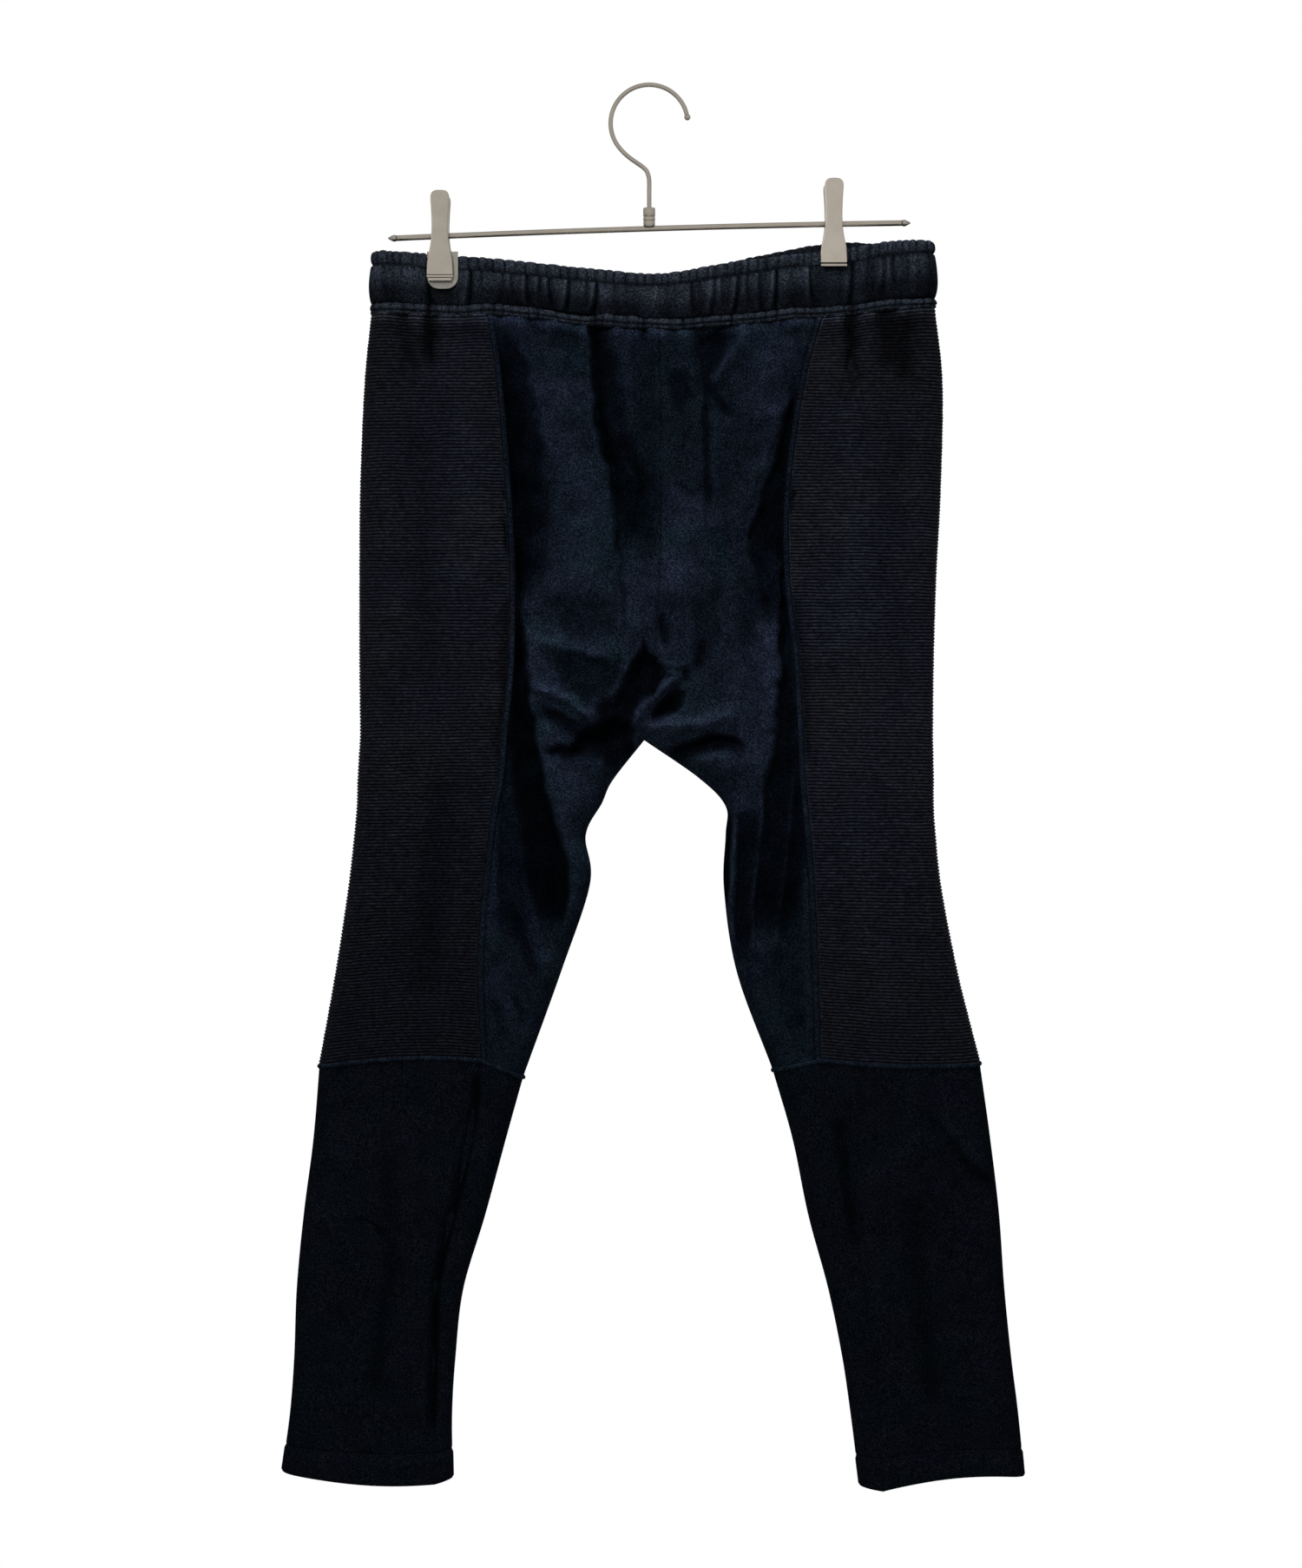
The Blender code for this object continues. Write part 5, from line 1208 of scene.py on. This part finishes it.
def calf_steps(leg):
    """Row numbers, closer together along the hem's sewn line and at its edge."""
    calf = np.arange(leg.above_hem(KNEE), 24, -2.0)
    sewn, hem = np.arange(23, 16, -0.5), np.arange(15.5, 3, -1.6)
    return leg.row_above_hem(np.concatenate([calf, sewn, hem, [2.2, 1.5, 0.9, 0.4, 0]]))


def calf_shell(name, leg, s, surface, facing, from_seam, material, column_step):
    """The piece's mesh, and its plain sheet without the relief."""
    base, fold = surface[..., :3], surface[..., 3]
    normals = grid_normals(base, facing)
    rise, wall, tone = hem_relief(leg, s)
    relief = rise[:, None] - 0.8 * (1 - smoothstep(from_seam / 1.6))
    points = base + normals * relief[..., None]
    # Painted shade and highlight on the creases
    tones = tone[:, None] + painted_crease_shading(fold)
    return shell(name, points, points - normals * wall, tones, material, 5, column_step), base


def calf_outer(side, material, with_pieces):
    leg = Leg(side)
    s = calf_steps(leg)
    arcs = wrapped_arcs(leg, s, np.linspace(0, 1, 40), 10)
    surface = leg.side_point(row_grid(s, arcs), arcs)
    from_seam = leg.side_reach(s)[:, None] - np.abs(arcs)
    made, base = calf_shell(f"calf_cloth_outer_{side}", leg, s, surface, leg.facing, from_seam, material, 4)
    declare(base, False)
    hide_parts(f"calf_outer_{side}")
    return made


def calf_inner(side, material):
    leg = Leg(side)
    s = calf_steps(leg)
    across = np.linspace(0, 1, 18) * leg.centre_reach(s)[:, None]
    half = np.concatenate([np.full((len(s), 1), -1.2), across], axis=1)
    back, front = (leg.centre_point(row_grid(s, half), half, face) for face in (False, True))
    surface = np.concatenate([back, front[:, -2::-1]], axis=1)
    from_seam = np.concatenate([half, half[:, -2::-1]], axis=1)
    made, base = calf_shell(f"calf_cloth_inner_{side}", leg, s, surface, -leg.facing, from_seam, material, 3)
    declare(base)
    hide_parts(f"calf_inner_{side}")
    return made


def leg_loop(leg, s, side_count, centre_count):
    """A closed ring of points round the leg at one row, with outward normals."""
    reach, full = leg.side_reach(s), leg.centre_reach(s)
    side_arcs = np.repeat(np.linspace(-reach, reach, side_count)[None], 3, 0)
    centre_arcs = np.repeat(np.linspace(0, full, centre_count)[None, 1:], 3, 0)
    rows = np.array([s - 0.02, s, s + 0.02])
    wrap = leg.side_point(row_grid(rows, side_arcs), side_arcs)
    front, back = (leg.centre_point(row_grid(rows, centre_arcs), centre_arcs, face) for face in (True, False))
    band = np.concatenate([wrap, front, back[:, -2::-1]], axis=1)[..., :3]
    wrapped = np.concatenate([band[:, -1:], band, band[:, :1]], axis=1)
    return band[1], grid_normals(wrapped, leg.facing)[1, 1:-1]


def knee_welt(side, material):
    """The corded ridge over the knee seam."""
    loop, normals = leg_loop(Leg(side), KNEE, 90, 40)
    uneven = 1 + 0.10 * np.sin(loop[:, 0] * 0.55) + 0.07 * np.sin(loop[:, 0] * 1.3 + 1)
    rings = []
    for angle in np.linspace(0, math.pi, 9):
        ring = loop + normals * (math.sin(angle) * WELT_RISE * uneven - 0.3)[:, None]
        ring[:, 2] += math.cos(angle) * WELT_HEIGHT / 2
        rings.append(ring)
    numbers = ringed(number_grid(len(rings), len(loop)))
    numbers = np.concatenate([numbers, numbers[:1]])
    made = new_object(f"knee_cord_{side}", np.concatenate(rings), quads(numbers), material)
    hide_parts(f"knee_welt_{side}")
    return made


# ---------------------------------------------------------------- waistband


def waist_loop(count):
    """Points round the waist in plan: x, y, outward normal, whether at the back, and the run along it."""
    left, right = WAIST[0].x, WAIST[-1].x
    radius = WAIST_DEPTH
    quarter = radius * math.pi / 2
    length = right - left - 2 * radius + 2 * quarter

    def plan(run):
        run = np.mod(run, 2 * length)
        front = run <= length
        arc = np.where(front, run, 2 * length - run)
        near, far = radius * (1 - np.cos(arc / radius)), radius * (1 - np.cos((length - arc) / radius))
        past_left = np.where(arc > length - quarter, right - left - far, radius + arc - quarter)
        from_left = np.where(arc < quarter, near, past_left)
        x = left + from_left
        rounding = edge_round(from_left, radius) * edge_round(right - left - from_left, radius)
        y = rounding * mix(WAIST_DEPTH, CLIP_HALF_DEPTH, pinch(x, waist_value(x, "band_foot")))
        return x, np.where(front, -y, y), ~front

    run = np.arange(count) * 2 * length / count
    x, y, back = plan(run)
    (ax, ay, _), (bx, by, _) = plan(run - 0.3), plan(run + 0.3)
    normals = unit(np.stack([by - ay, ax - bx], axis=-1))
    return x, y, normals, back, run


def waist_level(x, back, level):
    """The height of one of the waist table's lines. The back's top edge and groove stand higher."""
    share = {"top": 1.0, "stitch": 0.8, "casing_foot": 0.0, "band_foot": 0.0}[level]
    return waist_value(x, level) + np.where(back, waist_value(x, "back_rise"), 0.0) * share


def between_levels(x, back, level):
    return mix(waist_level(x, back, level.upper), waist_level(x, back, level.lower), level.share)


def slack(x):
    """How free the waist's gathers are: 1, and nearly 0 under the clips."""
    return 1 - CLIP_HOLD * pinch(x, waist_value(x, "top"))


def ring_points(x, y, normals, out, z):
    """A ring of points this far out of the waist's loop."""
    return np.stack([x + normals[:, 0] * out, y + normals[:, 1] * out, z], axis=-1)


def flat_normals(normals, count):
    """The loop's normals for each of a number of rings, with no slope up or down."""
    flat = np.zeros((count, len(normals), 3))
    flat[..., :2] = normals
    return flat


def gathers(run, seed, pitch):
    """Puffs between creases at uneven spacing: 0 in a crease and up to 1 on a puff."""
    rng = np.random.default_rng(seed)
    total = run[-1] + (run[1] - run[0])
    steps = rng.uniform(0.62, 1.38, int(total / pitch))
    creases = np.concatenate([[0], np.cumsum(steps) / steps.sum() * total])
    heights = rng.uniform(0.45, 1.0, len(steps))
    i = np.clip(np.searchsorted(creases, run, side="right") - 1, 0, len(steps) - 1)
    phase = (run - creases[i]) / (creases[i + 1] - creases[i])
    return heights[i] * np.sqrt(np.maximum(np.sin(math.pi * phase), 0))


def casing_creases(x, back, share):
    """Ridges and cuts of the elastic casing round the waist, this share of the way down it."""
    total = np.zeros_like(x)
    for creases, here in ((FRONT_CREASES, ~back), (BACK_CREASES, back)):
        for number, crease in enumerate(creases):
            lean, reach = CREASE_LEAN[number % len(CREASE_LEAN)]
            away = x - crease.x - lean * (share - 0.4) ** 2 - 0.5 * lean * (share - 0.4)
            width = crease.width * (1 + 0.5 * share)
            cut = -crease.depth * bump(away, width)
            ridge = crease.ridge * bump(away + 1.9 * width, width * 1.3)
            strength = 1 if crease.depth > 2 else 1 - 0.8 * smoothstep((share - reach) / 0.35)
            total += np.where(here, (cut + ridge) * strength, 0)
    return total


def heading_levels(puffs, loose):
    """From inside the top edge over the rounded top, down to the sewn groove."""
    levels = []
    for share, out in HEADING_SECTION:
        wave = (puffs - 0.6) * 2.4 * smoothstep((1 - share) * 3) * smoothstep(share * 4 + 0.35)
        levels.append(Level("top", "stitch", share, (out + wave) * loose))
    return levels + [Level("top", "stitch", 1.0, -0.75 * loose)]


def casing_levels(x, back, puckers, bulges, loose):
    """A rounded tube, cut by its creases and puckered at both sewn lines."""
    levels = []
    for share in np.linspace(0.03, 1.0, 22):
        arch = max(math.sin(math.pi * min(share * 0.97 + 0.012, 1.0)), 0.0)
        tube = (3.2 + 1.8 * (bulges - 0.5)) * np.sqrt(arch)
        envelope = smoothstep(share * 6) * smoothstep((1 - share) * 7)
        sewn = 1.1 * math.exp(-((share / 0.16) ** 2)) + 0.9 * math.exp(-(((1 - share) / 0.13) ** 2))
        sway = ripples(x, np.full_like(x, share * 25), CASING_SWAY)
        folds = 1.35 * casing_creases(x, back, share)
        out = tube - 0.5 + (folds + sway) * envelope + (puckers - 0.5) * sewn
        levels.append(Level("stitch", "casing_foot", share, out * loose))
    return levels


def waistband_tones(x, back, levels, puffs, puckers, bulges):
    """Tones of the outside and the inside. Painted shade darkens creases, gathers, sewn lines, the casing's
    lower side and the inside, and painted highlight lightens ridges and bulges.
    """
    casing = np.array([[level.upper == "stitch"] for level in levels])
    share = np.array([[level.share] for level in levels])
    sewn = bump(np.where(casing, share, 1 - share), 0.07) + bump(1 - share, 0.07) * casing
    puckered = np.maximum(0.5 - puckers, 0) * (bump(share, 0.2) + bump(1 - share, 0.16)) * casing
    folds = np.array([casing_creases(x, back, level.share) for level in levels])
    creased = np.where(folds < 0, 1.0, 0.7) * np.clip(folds, -3, 1.5)
    tones = CASING_TONE + np.where(casing, creased, 0.3 - 4.2 * np.maximum(0.6 - puffs, 0))
    tones = tones - 1.6 * sewn - 2.8 * puckered + np.interp(share, *zip(*CASING_UNDERSIDE_PAINTED_SHADE)) * casing
    tones = tones + ripples(x, 24 * share, CASING_PAINTED_SHADE_RIPPLES) * casing + 1.3 * (bulges - 0.55) * casing
    return tones, CASING_TONE - 0.9 - 2.2 * np.maximum(0.5 - puffs, 0) * ~casing


def waistband(material, with_pieces):
    """The gathered heading and the elastic casing, one doubled strip."""
    x, y, normals, back, run = waist_loop(1100)
    puffs, puckers, bulges = (gathers(run, *kind) for kind in (HEADING_PUFFS, CASING_PUCKERS, CASING_BULGES))
    loose = slack(x)
    levels = heading_levels(puffs, loose) + casing_levels(x, back, puckers, bulges, loose)
    rows = []
    for level in levels:
        drift = 1.2 * (puffs - 0.5) * (level.upper == "top") * smoothstep((0.3 - level.share) * 4)
        rows.append(ring_points(x, y, normals, level.out, between_levels(x, back, level) + drift))
    outer, flat = np.array(rows), flat_normals(normals, len(rows))
    offsets = np.array([level.out for level in levels])
    heading = np.array([[level.upper == "top"] for level in levels])
    walls = WAISTBAND_WALL + offsets + 0.8 * (puffs - 0.4) * heading * loose
    tones, inside = waistband_tones(x, back, levels, puffs, puckers, bulges)
    inner = outer - flat * walls[..., None]
    made = shell("waistband_cloth", outer, inner, tones, material, 2, 2, True, inside)
    declare(outer - flat * offsets[..., None], True)
    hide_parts("waistband")
    return made


def waist_seam_band(material):
    """The narrow band under the casing, rounded and puckered by its sewing."""
    x, y, normals, back, run = waist_loop(900)
    puckers = gathers(run, *BAND_PUCKERS)
    dips = sum(depth * bump(x - at, width) for at, depth, width in BAND_DIPS)
    lobes = np.where(back, 0, np.interp(x, *zip(*BAND_LOBES)))
    sway = ripples(x, np.zeros_like(x), BAND_SWAY)
    shares = np.linspace(0, 1, 15)
    rows, offsets = [], []
    for share in shares:
        arch = math.sin(math.pi * share)
        groove = math.exp(-(((share - BAND_GROOVE) / 0.07) ** 2))
        section = 2.9 * math.sqrt(max(arch, 0.0)) - 0.8 - 1.3 * groove
        out = section + (puckers - 0.55) * 1.9 * arch + dips * (0.3 + 0.7 * arch)
        out = out + np.maximum(lobes, 0) * 0.5 * arch
        z = between_levels(x, back, Level("casing_foot", "band_foot", mix(*BAND_REACH, share), out))
        z = z + lobes * (1 - share) + sway + 1.1 * (puckers - 0.6) * (0.5 - share)
        rows.append(ring_points(x, y, normals, out, z))
        offsets.append(out)
    outer, flat = np.array(rows), flat_normals(normals, len(rows))
    down = shares[:, None]
    # Painted shade at the band's upper and lower edges, in its stitch groove, in its dips and between its
    # puckers
    tones = 0.80 - 2.3 * bump(down, 0.14) - 1.7 * bump(down - 1.0, 0.16)
    tones = tones - 1.7 * bump(down - BAND_GROOVE, 0.09)
    tones = tones + (0.9 * dips - 3.0 * np.maximum(0.55 - puckers, 0))
    inner = outer - flat * (WALL + np.array(offsets)[..., None])
    made = shell("waist_band_cloth", outer, inner, tones, material, 4, 3, ring=True)
    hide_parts("waist_seam_band")
    return made


# ---------------------------------------------------------------- stitches


def stitch_run(path, normals, lift):
    """Stitches laid end to end along a line of points: each a small raised loop of thread."""
    steps = np.linalg.norm(np.diff(path, axis=0), axis=1)
    lengths = np.concatenate([[0], np.cumsum(steps)])
    starts = np.arange(0.5, lengths[-1] - STITCH_LENGTH, STITCH_LENGTH + STITCH_GAP)
    shares = np.array([0.0, 0.2, 0.5, 0.8, 1.0])
    at = starts[:, None] + shares[None, :] * STITCH_LENGTH
    spine = np.stack([np.interp(at, lengths, path[:, k]) for k in range(3)], axis=-1)
    out = unit(np.stack([np.interp(at, lengths, normals[:, k]) for k in range(3)], axis=-1))
    arch = np.sin(math.pi * shares) * 0.30 + lift
    spine = spine + out * arch[None, :, None]
    along = unit(np.gradient(spine, axis=1))
    across = unit(np.cross(along, out))
    radius = STITCH_RADIUS * np.array([0.35, 0.85, 1.0, 0.85, 0.35])
    corners = []
    for angle in np.arange(5) * 2 * math.pi / 5:
        corners.append(spine + (across * math.cos(angle) + out * math.sin(angle)) * radius[None, :, None])
    points = np.stack(corners, axis=2).reshape(-1, 3)
    one = quads(ringed(number_grid(5, 5))) + [(4, 3, 2, 1, 0), (20, 21, 22, 23, 24)]
    faces = [tuple(i + 25 * k for i in face) for k in range(len(starts)) for face in one]
    return points, faces


def stitches(name, runs, material):
    """One object for several runs of stitches."""
    points, faces, count = [], [], 0
    for run_points, run_faces in runs:
        points.append(run_points)
        faces += [tuple(i + count for i in face) for face in run_faces]
        count += len(run_points)
    made = new_object(name, np.concatenate(points), faces, material)
    return made


def waist_stitches(material):
    x, y, normals, back, _ = waist_loop(900)
    held = slack(x)
    out_of = np.concatenate([normals, np.zeros((len(x), 1))], axis=1)
    runs = []
    for level in (Level("top", "stitch", 1.0, -0.65 * held), Level("casing_foot", "band_foot", 0.76, 0.75)):
        path = ring_points(x, y, normals, level.out, between_levels(x, back, level))
        runs.append(stitch_run(path, out_of, 0.0))
    return stitches("stitches_waist", runs, material)


def seam_stitches(side, material):
    """Topstitching beside the side seams, front and back, and round the hem."""
    leg = Leg(side)
    runs = []
    s = np.linspace(0.05, KNEE - 0.05, 500)
    for front in (True, False):
        for at in (TAPE_WIDTH - 0.9, 1.5):
            arcs = np.repeat(np.array([[at - 0.4, at, at + 0.4]]), len(s), axis=0)
            band = leg.centre_point(row_grid(s, arcs), arcs, front)[..., :3]
            normals = grid_normals(band, leg.facing if front else -leg.facing)
            runs.append(stitch_run(band[:, 1], normals[:, 1], 0.62))
    loop, normals = leg_loop(leg, float(leg.row_above_hem(HEM_HEIGHT)), 160, 50)
    runs.append(stitch_run(loop, normals, -0.45))
    return stitches(f"stitches_{side}", runs, material)


# ---------------------------------------------------------------- hanger


def bar_height(x):
    """The bar hangs a little askew, and its ends bow down under the load."""
    return BAR_Z + BAR_TILT * x - BAR_BOW * (x / (BAR_LENGTH / 2)) ** 2


def tube(name, path, radius, material, sides=20, coiled=False):
    """A round rod along a line of points: one in the XZ plane, or a coil round the X axis."""
    along = unit(np.gradient(path, axis=0))
    side = unit(np.cross(along, [1.0, 0.0, 0.0])) if coiled else np.tile([0.0, 1.0, 0.0], (len(path), 1))
    up = np.cross(along, side)
    angles = np.arange(sides) * 2 * math.pi / sides
    turned_by = np.cos(angles)[None, :, None] * side[:, None] + np.sin(angles)[None, :, None] * up[:, None]
    # Painted shade on the wire's sides
    tones = np.zeros(sides) if coiled else painted_rim_shade(np.abs(np.cos(angles)))
    return capped_tube(name, path[:, None] + radius * turned_by, material, np.tile(tones, len(path)))


def painted_rim_shade(facing):
    """Painted shade: round metal is made darker where it turns away from the middle plane's two sides."""
    return WIRE_TONE - RIM_PAINTED_SHADE * (1 - facing) ** 1.5


def turned(name, profile, at, material, along="z", steps=40):
    """A solid of revolution. profile runs (radius, height) from one end on the axis to the other."""
    points, faces, rings = [], [], []
    for radius, height in profile:
        start = len(points)
        if radius == 0:
            points.append((0, 0, height))
            rings.append([start])
            continue
        for k in range(steps):
            angle = 2 * math.pi * k / steps
            points.append((radius * math.cos(angle), radius * math.sin(angle), height))
        rings.append(list(range(start, start + steps)))
    for a, b in zip(rings, rings[1:]):
        for i in range(steps):
            j = (i + 1) % steps
            top = [a[0]] if len(a) == 1 else [a[i], a[j]]
            foot = [b[0]] if len(b) == 1 else [b[j], b[i]]
            faces.append(top + foot)
    points = np.array(points, float)
    if along == "x":
        points = points[:, [2, 1, 0]]
    # Painted shade on the turned part's sides
    sideways = np.abs(points[:, 1]) / np.maximum(np.abs(points).max(axis=0)[1], 1e-6)
    return new_object(name, points + np.array(at), faces, material, painted_rim_shade(sideways))


def smooth_path(points, count):
    """A smooth line through these points, with its own points evenly spread."""
    points = np.asarray(points, float)
    ends = np.concatenate([2 * points[:1] - points[1:2], points, 2 * points[-1:] - points[-2:-1]])
    s = np.linspace(0, len(points) - 1, count)
    i = np.minimum(s.astype(int), len(points) - 2)
    t = (s - i)[:, None]
    v0, v1, v2, v3 = (ends[i + k] for k in range(4))
    a = (v2 - v0) * t + (2 * v0 - 5 * v1 + 4 * v2 - v3) * t * t + (3 * v1 - v0 - 3 * v2 + v3) * t**3
    return v1 + 0.5 * a


def hook_path():
    centre_z = WIRE / 2 - HOOK_RADIUS
    angles = np.radians(np.linspace(HOOK_TIP_ANGLE, HOOK_FOOT_ANGLE, 24))
    arc = [(HOOK_RADIUS * math.cos(a), centre_z + HOOK_RADIUS * math.sin(a)) for a in angles]
    line = smooth_path(arc + HOOK_BEND + [(0.0, -76.0), (0.0, FERRULE_TOP_Z - 1.5)], 200)
    return np.stack([line[:, 0], 0 * line[:, 0], line[:, 1]], axis=-1)


def hanger_wires(material):
    path = hook_path()
    hook = tube("hook_wire", path, HOOK_WIRE / 2, material)
    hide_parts("hook")
    radius = HOOK_WIRE * 0.70
    angles = np.radians(np.linspace(0, 180, 17))
    profile = [(radius * math.sin(a), -radius * math.cos(a)) for a in angles]
    profile[0], profile[-1] = (0, -radius), (0, radius)
    ball = turned("hook_ball", profile, (path[0, 0] + 0.3, 0, path[0, 2] - radius * 0.6), material)
    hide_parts("hook_tip")
    half = BAR_LENGTH / 2 - BAR_TIP_LENGTH
    xs = np.linspace(-half, half, 60)
    rod = tube("bar_rod", np.stack([xs, 0 * xs, bar_height(xs)], axis=-1), BAR_DIAMETER / 2 + 0.25, material)
    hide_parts("bar")
    for side, sign in (("l", -1), ("r", 1)):
        profile = [(radius, height * sign) for radius, height in BAR_TIP]
        end = turned(f"bar_end_{side}", profile, (half * sign, 0, bar_height(half * sign)), material, "x")
        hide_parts(f"bar_tip_{side}")
    foot = bar_height(0) + BAR_DIAMETER / 2 - 0.6
    top = FERRULE_TOP_Z + 0.6
    profile = [(0, foot)] + [(FERRULE_DIAMETER / 2 * share, foot + height) for share, height in FERRULE_FOOT]
    profile += [(FERRULE_DIAMETER / 2, top - 0.5), (FERRULE_DIAMETER / 2 * 0.93, top), (0, top)]
    ferrule = turned("ferrule_turned", profile, (0, 0, 0), material)
    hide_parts("hook_ferrule")


def rounded(w, out, radius, angles):
    """Points round the corner between a flange and the plate, this far across and out."""
    return [(w - radius * (1 - math.cos(a)), out - radius * (1 - math.sin(a))) for a in np.radians(angles)]


def clip_lever(side, front, material):
    """A pressed lever: a shallow channel with rounded corners."""
    at_x, base, sign = CLIP_X[side], bar_height(CLIP_X[side]), -1 if front else 1
    rows, tones = [], []
    for row in LEVER:
        w, back, inside = row.half_width, row.out - row.flange, row.half_width - CLIP_SHEET
        right = [(w, back)] + rounded(w, row.out, 1.3, [0, 30, 60, 90])
        inner = [(inside, back)] + rounded(inside, row.out - CLIP_SHEET, 0.5, [0, 45, 90])
        outline = [(-x, y) for x, y in right] + right[::-1] + inner + [(-x, y) for x, y in inner[::-1]]
        rows.append([(at_x + x, sign * y, base + row.height) for x, y in outline])
        # Painted highlight on one rounded corner, weaker painted shade on the other, painted shade inside the
        # channel, and the right clip's painted light
        row_tones = LEVER_EDGE_PAINTED_HIGHLIGHT + [-0.6 * tone for tone in LEVER_EDGE_PAINTED_HIGHLIGHT[::-1]] + [-0.8] * (2 * len(inner))
        tones += [tone + CLIP_PAINTED_LIGHT[side] for tone in row_tones]
    face = "front" if front else "rear"
    made = capped_tube(f"clip_{side}_{face}_plate", np.array(rows), material, tones)
    made.data.set_sharp_from_angle(angle=math.radians(45))
    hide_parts(f"clip_{side}_{face}_lever")
    return made


def clip_plate(name, at_x, base, faces_y, plate, material):
    """A flat plate with its lower corners cut round and its edges eased."""
    half_width, top, foot, corner = plate
    outline = [(half_width, top)]
    for a in np.radians(np.linspace(0, 90, 7)):
        outline.append((half_width - corner + corner * math.cos(a), foot + corner - corner * math.sin(a)))
    outline += [(-x, z) for x, z in outline[::-1]]
    count = len(outline)
    points = [(at_x + x, y, base + z) for y in faces_y for x, z in outline]
    faces = [list(range(count)), list(range(count, 2 * count))]
    faces += [[i, (i + 1) % count, count + (i + 1) % count, count + i] for i in range(count)]
    made = new_object(name, np.array(points), faces, material, np.zeros(2 * count))
    rounding = made.modifiers.new("eased_edges", "BEVEL")
    rounding.width = PLATE_BEVEL * MM
    rounding.segments = 2
    rounding.limit_method = "ANGLE"
    made.data.set_sharp_from_angle(angle=math.radians(40))
    return made


def clip(side, metal, pad, liner):
    at_x, base = CLIP_X[side], bar_height(CLIP_X[side])
    for front in (True, False):
        clip_lever(side, front, metal)
        sign = -1 if front else 1
        face = "front" if front else "rear"
        # The left clip's front cushion starts in front of the liner
        near = LINER_FRONT + 0.2 if front and side == "l" else CUSHION_FACE
        faces_y = (sign * near, sign * (JAW_FACE - 0.1))
        made = clip_plate(f"clip_{side}_{face}_cushion", at_x, base, faces_y, CUSHION[side], pad)
        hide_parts(f"clip_{side}_{face}_pad")
        for number, lip in enumerate(LIPS[side]):
            faces_y = (sign * (JAW_FACE - 0.3), sign * (LIP_FACE - 0.3 * number))
            made = clip_plate(f"clip_{side}_{face}_lip_{number + 1}", at_x, base, faces_y, lip, metal)
    if side == "l":
        made = clip_plate("clip_l_backing", at_x + 1.9, base, (-LINER_BACK, -LINER_FRONT), LINER, liner)
        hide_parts("clip_l_liner")
    t = np.linspace(0, 1, SPRING_TURNS * 20)
    angle = t * SPRING_TURNS * 2 * math.pi
    radius = BAR_DIAMETER / 2 + 0.95
    x = at_x + mix(-SPRING_LENGTH / 2, SPRING_LENGTH / 2, t)
    path = np.stack([x, radius * np.cos(angle), bar_height(x) + radius * np.sin(angle)], axis=-1)
    made = tube(f"clip_{side}_coil", path, SPRING_WIRE / 2, metal, 8, coiled=True)
    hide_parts(f"clip_{side}_spring")


# ---------------------------------------------------------------- stage


def camera():
    data = bpy.data.cameras.new("camera")
    data.sensor_width = 36
    data.lens = 36 * CAMERA_DISTANCE / FRAME_HEIGHT
    made = bpy.data.objects.new("camera", data)
    made.location = (FRAME_CENTRE[0], -CAMERA_DISTANCE, FRAME_CENTRE[1])
    made.rotation_euler = (math.radians(90), 0, 0)
    bpy.context.scene.collection.objects.link(made)
    bpy.context.scene.camera = made


def area_light(light):
    data = bpy.data.lights.new(light.name, "AREA")
    data.shape = "RECTANGLE"
    data.size, data.size_y = light.size
    data.energy = light.power
    made = bpy.data.objects.new(light.name, data)
    made.location = light.at
    made.rotation_euler = (Vector(light.target) - Vector(light.at)).to_track_quat("-Z", "Y").to_euler()
    made.visible_glossy = False
    bpy.context.scene.collection.objects.link(made)


def studio_world():
    """A white surround that shows behind the object and in the metal. The lights alone light the cloth."""
    world = bpy.data.worlds.new("studio")
    world.use_nodes = True
    background = world.node_tree.nodes["Background"].inputs
    background["Color"].default_value = (1, 1, 1, 1)
    background["Strength"].default_value = 1.0
    world.cycles_visibility.diffuse = False
    bpy.context.scene.world = world


def stage():
    scene = bpy.context.scene
    scene.view_settings.view_transform = "Standard"
    studio_world()
    for light in LIGHTS:
        area_light(light)
    mesh = bpy.data.meshes.new("floor")
    corners = [(x * FLOOR_HALF, y * FLOOR_HALF, FLOOR_Z) for x, y in ((-1, -1), (1, -1), (1, 1), (-1, 1))]
    mesh.from_pydata(corners, [], [(0, 1, 2, 3)])
    floor = bpy.data.objects.new("floor", mesh)
    mesh.materials.append(Nodes("pale_floor", {"Roughness": 0.8, "Base Color": (0.80, 0.80, 0.80)}).material)
    scene.collection.objects.link(floor)


def dress():
    """Every piece of the visual."""
    fleece, rib, thread = fleece_material("black_fleece", clouds=0.7), rib_material(), thread_material()
    band = fleece_material("charcoal_band", BAND_TINT, 0.3, 0.4)
    lower_fleece = fleece_material("lower_fleece", LOWER_TINT, 1.0, 0.45)
    metal = metal_material()
    # The cushions' material is a painted shadow for the gaps under the levers
    pad, liner = pad_material("pad_painted_shadow", PAD_PAINTED_SHADOW), pad_material("satin_liner", SATIN_LINER)
    waistband(band, [waist_seam_band(band), waist_stitches(thread)])
    for side in LEGS:
        rib_panel(side, rib)
        centre_panel(side, True, fleece, [seam_stitches(side, thread)])
        centre_panel(side, False, fleece)
        calf_outer(side, lower_fleece, [knee_welt(side, fleece)])
        calf_inner(side, lower_fleece)
        clip(side, metal, pad, liner)
    hanger_wires(metal)


for old in list(bpy.data.objects):
    bpy.data.objects.remove(old)
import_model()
dress()
camera()
stage()
